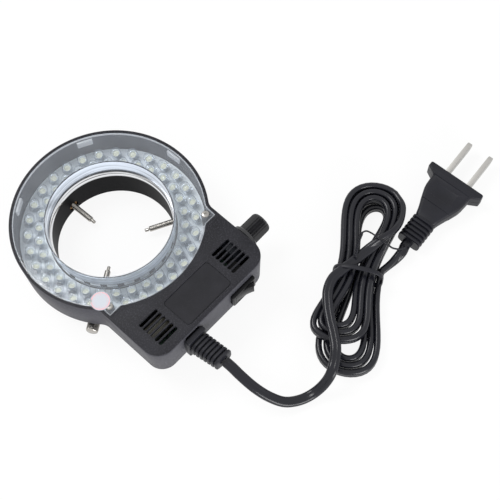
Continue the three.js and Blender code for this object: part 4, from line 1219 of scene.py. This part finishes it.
# Tie's ends, in millimetres from the ring's axis, and the plug's outline as distance, half width,
# half height and roundness
TWIST_ROUTE = ((97.9, 68.3, 16.6), (96.6, 71, 16.4), (94.5, 74.3, 16.2), (91.8, 80.6, 15.2))
FREE_END_ROUTE = (
    (91.8, 80.6, 15.4),
    (92.9, 82.5, 16),
    (96.3, 82.9, 17.4),
    (102.1, 82.4, 18.9),
    (106, 83.5, 17),
    (108, 85.5, 13),
    (110.1, 88.6, 10.2),
    (111.2, 91.3, 9.4),
)
PLUG_SHAPE = (
    (14.3, 5.6, 3.4, 0.5),
    (14.7, 5.8, 3.6, 0.5),
    (17, 6.4, 3.7, 0.5),
    (20.4, 7.6, 3.75, 0.5),
    (22.8, 8.5, 3.8, 0.5),
    (23.1, 8.7, 4.15, 0.45),
    (27.7, 10.3, 4.2, 0.45),
    (28.4, 10.5, 4.2, 0.45),
    (30.6, 10.9, 4.2, 0.45),
    (36.4, 11.3, 4.2, 0.45),
    (36.7, 11.4, 4.35, 0.3),
    (36.9, 11.6, 4.7, 0.25),
    (39.1, 15.5, 4.75, 0.25),
    (39.4, 15.7, 4.75, 0.25),
    (41.6, 15.7, 4.75, 0.25),
    (41.9, 15.5, 4.55, 0.25),
)


def cross_ring(x, half_y, half_z, round_share, y=0.0, z=0.0):
    """A ring of a rounded block across +X."""
    corner = round_share * min(half_y, half_z)
    return [(x, y + a, z + b) for a, b in rounded_box(half_y, half_z, corner, 6)]


class RINGLIGHT_OT_housing(bpy.types.Operator):
    """Mould the rear housing of ring and box, and the clamp collar under it"""

    bl_idname = "ringlight.housing"
    bl_label = "Housing and collar"

    def execute(self, context):
        piece("ring_housing", self.housing(), "shell", "rear_housing")
        piece("bore_collar", self.collar(), "collar", "clamp_collar")
        return {"FINISHED"}

    def housing(self):
        """The skin of ring and box, cut by the tray, the box, the lid's place and the holes."""
        h, f, lights = map(settings, ("housing_sizes", "fitting_sizes", "light_sizes"))
        foot, over, rim = h.base + h.foot_edge, h.top + OVERRUN, 0.0003
        tray_floor = h.base + h.skin
        under = tray_floor - OVERRUN
        window_base, lid_base = h.top - h.window, h.top - h.lid
        boss, stand, stand_top, collar_seat = 0.00205, 0.0018, 0.0127, 0.0335
        dial_hole, dial_reach, wire_room = 0.0038, 0.007, (0.003, 0.0028)
        switch_room, relief_room = (0.00727, 0.00455), (0.0041, 0.0048)
        skin = stacked(
            (h.draft + h.foot_edge, h.base),
            (h.draft + h.foot_edge * 0.3, h.base + h.foot_edge * 0.3),
            (h.draft, foot),
            (0, h.top - rim),
            (rim * 0.3, h.top - rim * 0.3),
            (rim, h.top),
        )
        bosses = at_ears(boss, under, window_base, 32)
        ring = (lights.board_inner + lights.board_radius) / 2
        for turn in STOP_ANGLES:
            x, y = ring * math.cos(turn * DEG), ring * math.sin(turn * DEG)
            bosses.append(post(stand, under, lights.board_top - lights.board, 20, x, y))
        tray = shape(tray_fill(h.wall, h.ear_end + GAP, tray_floor, over, True), cut=bosses)
        tray_wall, tray_wall_at_lid = (
            tray_fill(0, h.ear_end + GAP + h.wall, low - OVERRUN, over + OVERRUN)
            for low in (tray_floor, lid_base)
        )
        posts = [post(stand, under, stand_top, 20, *place) for place in DRIVER_POSTS]
        box = shape(leaning(h.wall, tray_floor, over), cut=[tray_wall, *posts])
        lid = block((0, h.box_end + OVERRUN), span(0, h.box_half + OVERRUN), (lid_base, over))
        lid = shape(lid, cut=[tray_wall_at_lid])
        inside = h.box_half - draft_at(f.dial_z - dial_reach) - h.wall
        lean = draft_at(f.rocker_z)
        end_wall = (h.box_end - lean - h.wall - OVERRUN - lean, h.box_end + OVERRUN)
        wire_way = (h.ring_radius - h.wall - OVERRUN - h.draft, h.ring_radius + OVERRUN)
        cuts = [
            tray,
            box,
            lid,
            post(collar_seat, -OVERRUN, tray_floor + OVERRUN, ROUND),
            *at_ears(SCREW_HOLE, window_base - SCREW_REACH - GAP, over, 24),
            moved(post(dial_hole, inside - OVERRUN, h.box_half + OVERRUN, 40), along_dial()),
            block(
                end_wall,
                span(f.rocker_y, switch_room[0] + GAP),
                span(f.rocker_z, switch_room[1] + GAP),
            ),
            block(
                end_wall,
                span(f.relief_y, relief_room[0] + GAP),
                (f.dial_z - relief_room[1] - GAP, over),
            ),
            block(wire_way, span(0, wire_room[0]), (tray_floor, tray_floor + wire_room[1])),
        ]
        return shape(skin, cut=cuts)

    def collar(self):
        """The collar with the wall of the bore, and a hole for each insert."""
        h = settings("housing_sizes")
        edge, inner, seat, chamfer, hole = 0.0006, h.bore_radius, 0.0332, 0.0003, 0.0029
        outer, tube_outer, floor = h.collar_radius, h.bore_radius + h.bore_tube, h.base + h.skin
        profile = [(inner + chamfer, 0), (outer - edge, 0), (outer - edge * 0.3, edge * 0.3)]
        profile += [(outer, edge), (outer, h.base), (seat, h.base), (seat, floor)]
        profile += [(tube_outer, floor), (tube_outer, h.bore_wall_top)]
        profile += [(inner, h.bore_wall_top), (inner, chamfer)]
        room = (inner - OVERRUN, outer + OVERRUN)
        holes = [moved(post(hole, *room), radial(turn)) for turn in CLAMP_ANGLES]
        return shape(spin(profile), cut=holes)


# The driver board's posts in the box, the vents' middle and half size, and the lid's recess
DRIVER_POSTS = ((0.0532, -0.028), (0.0532, 0.0218), (0.0646, -0.028), (0.0646, 0.0218))
VENT_X, VENT_Y, VENT_HALF, VENT_FLARE = 0.0513, 0.0242, (0.0057, 0.001), 0.0002
PANEL_X, PANEL_HALF, PANEL_CORNER = 0.0595, (0.0085, 0.0147), 0.002


class RINGLIGHT_OT_lid(bpy.types.Operator):
    """Mould the lid of the box with its vent slots and its recessed panel"""

    bl_idname = "ringlight.lid"
    bl_label = "Box lid"

    def execute(self, context):
        h, f = settings("housing_sizes"), settings("fitting_sizes")
        base, over, edge = h.top - h.lid, h.top + OVERRUN, 0.0004
        plate = stacked(
            (0, base), (0, h.top - edge), (edge * 0.3, h.top - edge * 0.3), (edge, h.top)
        )
        lip_low, lip, lip_thick, notch = base - 0.0012, h.wall + GAP, 0.001, 0.00615
        under, above = lip_low - OVERRUN, base + OVERRUN
        end = h.box_end - draft_at(f.rocker_z) - h.wall - lip_thick - OVERRUN
        rim = shape(
            upright(lip + draft_at(lip_low), lip_low, base + SKIN),
            cut=[
                upright(lip + lip_thick + h.draft, under, above),
                tray_fill(-GAP, h.ear_end + 2 * GAP + h.wall, under, above),
                block((end, h.box_end), span(f.relief_y, notch), (under, base)),
            ],
        )
        tray = tray_fill(-SKIN, h.ear_end + GAP + SKIN + h.wall, base - OVERRUN, over)
        floor, line = h.top - PANEL_DEPTH, 0.00035
        inside = self.panel(line, floor - 2 * line, over + OVERRUN)
        groove = shape(self.panel(0, floor - line, over), cut=[inside])
        vents = [self.vents(side, base - OVERRUN, over) for side in (1, -1)]
        cuts = [tray, self.panel(0, floor, over), groove, *vents]
        lid = shape(plate, join=[rim], cut=cuts)
        piece("box_lid", lid, "shell", "box_cover")
        return {"FINISHED"}

    def panel(self, inset, low, high):
        """The recessed panel, or one set in from its edge, as an upright solid."""
        half_x, half_y, corner = (size - inset for size in (*PANEL_HALF, PANEL_CORNER))
        points = rounded_box(half_x, half_y, corner, 8)
        return prism([(x + PANEL_X, y) for x, y in points], low, high)

    def vents(self, side, low, high):
        """A group of slots that flare at the top."""
        h = settings("housing_sizes")
        rings = []
        for z, flare in ((low, 0), (h.top - VENT_FLARE, 0), (h.top, 1), (high, 1)):
            size = (half + flare * VENT_FLARE for half in VENT_HALF)
            rings.append(level(slot_outline(VENT_X, side * VENT_Y, *size), z))
        step = (h.vent_pitch, 0.0, 0.0)
        return repeated(loft(rings), "row", "shell", Count=h.vents, Step=step)


class RINGLIGHT_OT_window(bpy.types.Operator):
    """Set the clear window with its snap legs, its two screws and the paper seal"""

    bl_idname = "ringlight.window"
    bl_label = "Window, screws and seal"

    def execute(self, context):
        h = settings("housing_sizes")
        base, over, edge = h.top - h.window, h.top + OVERRUN, 0.0002
        low, fit, line = base - OVERRUN, h.wall + GAP, 0.00028
        leg_at, leg_half, leg_low = (0.045, 0.0462), 0.004, base - 0.0041
        plate = shape(
            tray_fill(fit, h.ear_end, base, h.top - edge),
            join=[tray_fill(fit + edge, h.ear_end - edge, h.top - 2 * edge, h.top)],
        )
        leg = eased(block(leg_at, span(0, leg_half), (leg_low, base - SKIN)), edge)
        legs = [moved(leg.copy(), about(turn * DEG)) for turn in STOP_ANGLES]
        opening = post(h.window_inner, low, over, ROUND)
        shanks = at_ears(SCREW_HOLE, low, h.top, 32)
        heads = at_ears(SCREW_HEAD + GAP, h.top - SKIN - HEAD_HIGH, over, 40)
        holes = [hole for pair in zip(shanks, heads) for hole in pair]
        window = shape(plate, cut=[opening, *holes])
        # Painted highlight: a thin hazy band along the window's outer edge, where the edge catches
        # light
        rim = shape(
            tray_fill(fit, h.ear_end, base + SKIN, h.top - edge - SKIN),
            cut=[tray_fill(fit + line, h.ear_end - line, low, over), *holes],
        )
        piece("clear_window", window, "window", "clear_cover")
        piece("window_legs", merged(legs), "haze")
        piece("window_edges", rim, "haze")
        for number, side in ((1, 1), (2, -1)):
            self.screw(number, at(h.ear_x, side * h.ear_y) @ about(side * 0.4))
        self.seal()
        return {"FINISHED"}

    def screw(self, number, place):
        """A screw with a round head and a cross slot."""
        h = settings("housing_sizes")
        top, end, radius = h.top - SKIN, h.top - h.window - SCREW_REACH, SCREW_HEAD
        slot_long, slot_wide, slot_deep = 0.00095, 0.0002, 0.0005
        low = top - HEAD_HIGH
        head = [(0, low), (radius, low), (radius, low + 0.0004), (0.0018, low + 0.0007)]
        head += [(0.0012, top), (0, top)]
        shank = [(0, end), (0.0006, end), (0.001, end + 0.001)]
        shank += [(0.001, low + SKIN), (0, low + SKIN)]
        arms = [
            block(span(0, a), span(0, b), (top - slot_deep, top + OVERRUN))
            for a, b in ((slot_long, slot_wide), (slot_wide, slot_long))
        ]
        body = moved(shape(spin(head, 40), join=[spin(shank, 24)], cut=arms), place)
        piece(f"window_screw_{number}", body, "bright", f"cover_screw_{number}")

    def seal(self):
        """The paper seal over one screw, with a nick torn from its edge."""
        top = settings("housing_sizes").top
        low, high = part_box("seal_sticker")
        x, y = middle("seal_sticker").xy
        x, y, radius = x - RING_X, y - RING_Y, (high.x - low.x) / 2
        torn, nick_radius, paper = -2.4, 0.0008, 0.0002
        nick = circle(nick_radius, 12, x + radius * math.cos(torn), y + radius * math.sin(torn))
        disc = prism(circle(radius, 64, x, y), top, top + paper)
        disc = shape(disc, cut=[prism(nick, *span(top, OVERRUN))])
        piece("paper_seal", disc, "seal", "seal_sticker")


# The lamps lean in towards the bore
LAMP_LEAN = 13 * DEG


class RINGLIGHT_OT_lamps(bpy.types.Operator):
    """Line the bore with the bright sleeve and set two rows of clear lamps on their board"""

    bl_idname = "ringlight.lamps"
    bl_label = "Sleeve, board and lamps"

    def execute(self, context):
        h, lights = settings("housing_sizes"), settings("light_sizes")
        self.sleeve(h)
        boss_way = 0.00235
        board = shape(
            post(lights.board_radius, lights.board_top - lights.board, lights.board_top, ROUND),
            cut=[post(lights.board_inner, 0, h.top, ROUND), *at_ears(boss_way, 0, h.top, 32)],
        )
        piece("lamp_board", board, "board", "led_board")
        rows = ((lights.outer_row, lights.outer_phase), (lights.inner_row, lights.inner_phase))
        foot = lights.board_top
        for name, mesh, finish in (
            ("lamp_lenses", self.lens(), "lens"),
            ("lamp_phosphors", self.chip(), "phosphor"),
            ("lamp_cups", self.cup(), "cup"),
        ):
            copies = []
            for radius, phase in rows:
                lean = at(radius, 0, foot + 0.0004) @ about(-LAMP_LEAN, "Y") @ at(z=-foot)
                lamp = moved(mesh.copy(), lean)
                copies.append(repeated(lamp, "ring", finish, Count=lights.lamps, Start=phase))
            piece(name, merged(copies), finish)
        return {"FINISHED"}

    def sleeve(self, h):
        """The bright foot with its slits and dark core, the wall painted pale as the lit board seen
        through it, and a lip of painted shade at its top.
        """
        base, low, inner = h.top - h.window, h.bore_wall_top, h.bore_radius
        outer, skin, foot, rim = inner + h.bore_tube, 0.0003, low + 0.0044, h.window_inner
        under = foot - skin
        shell = [(inner, low), (inner + skin, low), (inner + skin + 0.0004, under)]
        shell += [(outer - skin, under), (outer - skin, low), (outer, low), (outer, under)]
        shell += [(outer - skin, foot), (inner + 0.0006, foot), (inner + 0.0004, under)]
        slit_half, slit_low, slit_high, slit_count = 0.0016, low + 0.0014, low + 0.0041, 24
        slit = block((outer - 2 * skin, outer + skin), span(0, slit_half), (slit_low, slit_high))
        slits = repeated(slit, "ring", "chrome", Count=slit_count, Start=0.15)
        shell = shape(spin(shell, 192), cut=[slits])
        piece("bright_foot", shell, "chrome", "reflector_sleeve")
        near, far, roof = inner + 0.0008, outer - skin - SKIN, foot - 2 * skin
        core = [(near, low), (far, low), (far, roof), (near, roof)]
        piece("foot_core", spin(core), "collar")
        # Painted light: an opaque wall in the pale blue that the lit board shows through clear
        # plastic
        wall = [(inner + 0.001, foot), (inner + 0.0016, foot), (rim + 0.0006, base), (rim, base)]
        piece("sleeve_wall", spin(wall, 192), "sleeve")
        # Painted shade: a thin dark ring stands for the dark line along the clear wall's top edge
        near, far, lip_low = rim - SKIN, rim + 0.0005 - SKIN, base - 3 * SKIN
        lip = [(near, lip_low), (far, lip_low), (far, base), (near, base)]
        piece("sleeve_lip", spin(lip, 192), "collar")

    def lens(self):
        """A round-topped lens on its flange."""
        lights = settings("light_sizes")
        low, top, radius, arcs = lights.board_top, lights.lamp_top, lights.lamp_radius, 7
        shoulder, flange = top - radius * 0.92, radius + 0.0002
        dome = [
            (radius * math.cos(turn), shoulder + (top - shoulder) * math.sin(turn))
            for turn in (i * QUARTER / arcs for i in range(arcs))
        ]
        foot = [(0, low), (flange, low), (flange, low + 0.0007), (radius, low + 0.0009)]
        return spin([*foot, *dome, (0, top)], 24)

    def chip(self):
        """The phosphor in its cup."""
        low = settings("light_sizes").board_top + 0.0022
        disc = [(0, low), (0.0013, low), (0.0017, low + 0.0005), (0.0013, low + 0.0009)]
        return spin([*disc, (0, low + 0.0011)], 16)

    def cup(self):
        """The white cup on its lead, and the second lead beside it."""
        foot = settings("light_sizes").board_top
        low, floor, rim, lead_low = foot + 0.0014, foot + 0.0021, foot + 0.0042, foot + 0.0002
        cup = [(0, low), (0.0014, low), (0.00205, rim), (0.0019, rim), (0.0013, floor), (0, floor)]
        lead = block(span(0, 0.00025), (-0.0009, -0.0004), (lead_low, low + SKIN))
        other = block(span(0, 0.0003), (0.0017, 0.0022), (lead_low, foot + 0.0029))
        return merged([spin(cup, 16), lead, other])


class RINGLIGHT_OT_clamps(bpy.types.Operator):
    """Turn the three clamp screws, their plain points and the brass inserts that hold them"""

    bl_idname = "ringlight.clamps"
    bl_label = "Clamp screws"

    def execute(self, context):
        for number, turn in enumerate(CLAMP_ANGLES, 1):
            for name, mesh, finish, slot, body, node in (
                ("clamp_screw", self.screw(), "nickel", "steel", f"screw_{number}", "thumbscrew"),
                ("clamp_point", self.point(), "nickel", "steel", f"point_{number}", "screw_point"),
                ("thread_insert", self.insert(), "brass", "brass", "light", "screw_insert"),
            ):
                mesh, node = moved(mesh, radial(turn)), f"{node}_{number}"
                piece(f"{name}_{number}", mesh, finish, node, body, sharp=50 * DEG)
        return {"FINISHED"}

    def screw(self):
        """A threaded stem with a socket for its point, and a knurled head."""
        f = settings("fitting_sizes")
        start, pitch, depth, sides, steps = f.point_end + 0.0024, 0.0005, 0.00013, 24, 6
        tip, shoulder, chamfer, neck_long = 0.00085, 0.0012, 0.0003, 0.0004
        rings = [level(circle(radius, sides), start) for radius in (tip, shoulder)]
        turns = round((f.head_start - neck_long - start - chamfer) / pitch)
        for i in range(turns * steps):
            crest, z = TURN * (i / steps), start + chamfer + i * pitch / steps

            def radius_at(turn):
                return f.shaft_radius - depth * (0.5 + 0.5 * math.cos(crest - turn))

            rings.append(turned(radius_at, sides, z))
        neck = circle(f.shaft_radius - depth, sides)
        rings += [level(neck, z) for z in (f.head_start - chamfer, f.head_start + SKIN)]
        pin_hole, pin_deep = 0.0008, 0.003
        socket = post(pin_hole, start - OVERRUN, start + pin_deep, 20)
        height, knurl_deep = f.head_end - f.head_start, 0.00022
        head = []
        for z, inset, knurl in (
            (0, 0.0007, 0),
            (0.0002, 0.0004, 0),
            (0.0006, 0.0001, 0),
            (0.0009, 0, knurl_deep),
            (height - 0.0009, 0, knurl_deep),
            (height - 0.0006, 0.0001, 0),
            (height - 0.0002, 0.0003, 0),
            (height, 0.0007, 0),
        ):
            head.append(wavy(f.head_radius - inset, knurl, f.knurls, f.head_start + z, 1))
        return shape(loft(head), join=[loft(rings)], cut=[socket])

    def point(self):
        """The plain point, with the pin that turns in the screw's socket."""
        start = settings("fitting_sizes").point_end
        end, radius, pin = start + 0.0021, 0.00085, 0.0005
        tip = [(0, start), (0.0006, start), (radius, start + 0.00025), (radius, end), (pin, end)]
        return spin([*tip, (pin, end + 0.003), (0, end + 0.003)], 32)

    def insert(self):
        """The brass insert, with its edges broken round the hole."""
        f, h = settings("fitting_sizes"), settings("housing_sizes")
        low, high, hole = h.bore_radius + 0.0006, h.collar_radius - GAP, f.shaft_radius + 0.00012
        outer, edge = 0.0026, 0.0003
        rings = [(hole, low + edge), (hole + edge, low), (outer, low)]
        rings += [(outer, high), (hole + edge, high), (hole, high - edge)]
        return spin(rings, 40)


class RINGLIGHT_OT_dimmer(bpy.types.Operator):
    """Mould the fluted dimmer knob, and finish the shaft, nut and washer behind it"""

    bl_idname = "ringlight.dimmer"
    bl_label = "Dimmer"

    def execute(self, context):
        f = settings("fitting_sizes")
        start, end, skirt, grip, deep = f.knob_start, f.knob_end, 0.0071, f.knob_radius, 0.0009
        rings = [
            wavy(radius, depth, f.flutes, z)
            for radius, depth, z in (
                (skirt - 0.0003, 0, start),
                (skirt, 0, start + 0.0003),
                (skirt, 0, start + 0.0014),
                (skirt - 0.0002, 0, start + 0.0019),
                (skirt - 0.0007, 0, start + 0.0023),
                (grip + 0.0004, deep * 0.3, start + 0.0025),
                (grip + 0.0001, deep, start + 0.0032),
                (grip, deep, end - 0.0012),
                (grip - 0.0002, deep * 0.8, end - 0.0006),
                (grip - 0.0006, 0, end - 0.0001),
                (grip - 0.0009, 0, end),
                (grip - 0.0014, 0, end),
                (grip - 0.0016, 0, end - 0.0002),
            )
        ]
        shaft, shaft_end, hollow_radius, hollow_deep = 0.0033, 0.0479, 0.0061, 0.0015
        socket = post(shaft, start - OVERRUN, shaft_end, 40)
        hollow = post(hollow_radius, start - OVERRUN, start + hollow_deep, 48)
        knob = moved(shape(loft(rings), cut=[socket, hollow]), along_dial())
        piece("dimmer_knob_cap", knob, "knob", "dimmer_knob", "dimmer")
        for part in ("shaft", "nut", "washer"):
            refinish("potentiometer_" + part, "steel")
        refinish("potentiometer_body", "can")
        return {"FINISHED"}


def refinish(node, finish):
    """Gives a CAD node its material."""
    coat(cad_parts[node].data, finish)


class RINGLIGHT_OT_switch(bpy.types.Operator):
    """Fit the rocker switch in the end wall"""

    bl_idname = "ringlight.switch"
    bl_label = "Rocker switch"

    def execute(self, context):
        f, h = settings("fitting_sizes"), settings("housing_sizes")
        half_y, half_z, wall, axle, axle_end = 0.00617, 0.00345, 0.0011, 0.0008, 0.00395
        pivot, face, flange = f.rocker_pivot, 0.0722, h.box_end + SKIN
        deep, room_deep, face_y, face_z, corner = 0.0115, 0.0044, 0.0076, 0.00485, 0.0008
        rocker_top, dish, rocker_y, rocker_z, steps = 0.0035, 0.0009, 0.00525, 0.00315, 8
        centre = at(0, f.rocker_y, f.rocker_z)
        shell, window = (
            block(along, span(f.rocker_y, half_y + more), span(f.rocker_z, half_z + more))
            for along, more in (
                ((pivot - deep, flange + SKIN), wall),
                ((pivot - room_deep, face + OVERRUN), 0),
            )
        )
        rings = []
        for x, inset in (
            (flange, 0),
            (face - 0.0007, 0),
            (face - 0.0003, 0.00012),
            (face - 0.0001, 0.0003),
            (face, 0.0006),
        ):
            rings.append(level(rounded_box(face_y - inset, face_z - inset, corner, 6), x))
        low, high = f.rocker_z - half_z - axle, f.rocker_z + half_z + axle
        axles = post(0.0011, low, high, 24, pivot, f.rocker_y)
        body = shape(moved(loft(rings), centre @ ACROSS_X), join=[shell], cut=[window, axles])
        piece("switch_frame", body, "gloss", "switch_body")
        dished = [
            (rocker_top + dish * (i / steps) ** 2, rocker_y * i / steps)
            for i in range(-steps, steps + 1)
        ]
        foot = [(0.00125, 0.00587), (-0.0022, 0.0034), (-0.0022, -0.0034), (0.00125, -0.00587)]
        rocker = eased(prism([*dished, *foot], *span(0, rocker_z)), 0.00025, 3, 25 * DEG)
        rocker = shape(rocker, join=[post(axle, *span(0, axle_end), 24)])
        rocker = moved(rocker, at(pivot, f.rocker_y, f.rocker_z) @ about(-f.rocker_tilt))
        piece("rocker_cap", rocker, "gloss", "switch_rocker", "rocker")
        return {"FINISHED"}


class RINGLIGHT_OT_relief(bpy.types.Operator):
    """Mould the ribbed strain relief where the cord leaves the box"""

    bl_idname = "ringlight.relief"
    bl_label = "Strain relief"

    def execute(self, context):
        f, h = settings("fitting_sizes"), settings("housing_sizes")
        z, half, high, groove = f.dial_z, 0.00585, 0.0048, 0.0011
        neck_half, flange_high, flange_thick = 0.0041, 0.0073, 0.0024
        rib_half, taper = 0.0055, 0.0005
        start, end, first_rib = h.box_end + GAP, 0.0736, 0.0742
        inside = h.box_end - draft_at(f.rocker_z) - h.wall - draft_at(z) / 2

        def bar(rows, corner):
            """A bar across +X through rows of place, half width and half height."""
            return loft([cross_ring(*row, corner, f.relief_y, z) for row in rows])

        def rib(x, cut):
            share = (x - end) / (f.relief_exit - end)
            size = rib_half - taper * share - cut * groove
            y = f.relief_y + (f.relief_exit_y - f.relief_y) * share
            return cross_ring(x, size, size, 0.6, y, z)

        inner = bar([(x, half, high) for x in (inside - GAP - flange_thick, inside - GAP)], 0.2)
        neck = bar([(x, neck_half, high) for x in (inside - 2 * GAP, h.box_end + 2 * GAP)], 0.1)
        edges = (
            (start, 0.0003),
            (start + 0.0003, 0),
            (end - 0.0004, 0),
            (end - 0.0001, 0.0002),
            (end, 0.0005),
        )
        outer = bar([(x, half - inset, flange_high - inset) for x, inset in edges], 0.2)
        ribs, pitch = [rib(end - 2 * GAP, 1)], (f.relief_exit - first_rib) / f.relief_ribs
        for i in range(f.relief_ribs):
            x = first_rib + i * pitch
            for step, cut in ((0, 1), (0.06, 0.4), (0.15, 0), (0.62, 0), (0.72, 0.4), (0.79, 1)):
                ribs.append(rib(x + pitch * step, cut))
        body = shape(outer, join=[neck, inner, loft(ribs)])
        piece("cord_relief", body, "rubber", "strain_relief")
        return {"FINISHED"}


class RINGLIGHT_OT_driver(bpy.types.Operator):
    """Finish the driver board and its parts, which show dimly through the vents"""

    bl_idname = "ringlight.driver"
    bl_label = "Driver board"

    def execute(self, context):
        refinish("driver_board", "driver")
        refinish("input_capacitor", "component")
        for node in ("smoothing_capacitor", "choke", "rectifier", "dimmer_transistor"):
            refinish(node, "can")
        return {"FINISHED"}


class RINGLIGHT_PT_panel(bpy.types.Panel):
    """The steps that make the ring light, in order"""

    bl_idname = "RINGLIGHT_PT_panel"
    bl_label = "Ring light"
    bl_space_type = "VIEW_3D"
    bl_region_type = "UI"
    bl_category = "Ring light"

    def draw(self, context):
        for step in STEPS:
            self.layout.operator(step.bl_idname)
        for group in GROUPS:
            sizes = getattr(context.scene, group)
            for name in sizes.__annotations__:
                self.layout.prop(sizes, name)


STEPS = (
    RINGLIGHT_OT_finishes,
    RINGLIGHT_OT_stage,
    RINGLIGHT_OT_cord,
    RINGLIGHT_OT_housing,
    RINGLIGHT_OT_lid,
    RINGLIGHT_OT_window,
    RINGLIGHT_OT_lamps,
    RINGLIGHT_OT_clamps,
    RINGLIGHT_OT_dimmer,
    RINGLIGHT_OT_switch,
    RINGLIGHT_OT_relief,
    RINGLIGHT_OT_driver,
)


def register():
    for kind in (*GROUPS.values(), *STEPS, RINGLIGHT_PT_panel):
        bpy.utils.register_class(kind)
    for name, kind in GROUPS.items():
        setattr(bpy.types.Scene, name, PointerProperty(type=kind))


def unregister():
    for name in GROUPS:
        delattr(bpy.types.Scene, name)
    for kind in (RINGLIGHT_PT_panel, *reversed(STEPS), *reversed(GROUPS.values())):
        bpy.utils.unregister_class(kind)


def main():
    register()
    for step in STEPS:
        group, name = step.bl_idname.split(".")
        getattr(getattr(bpy.ops, group), name)()


if __name__ == "__main__":
    main()
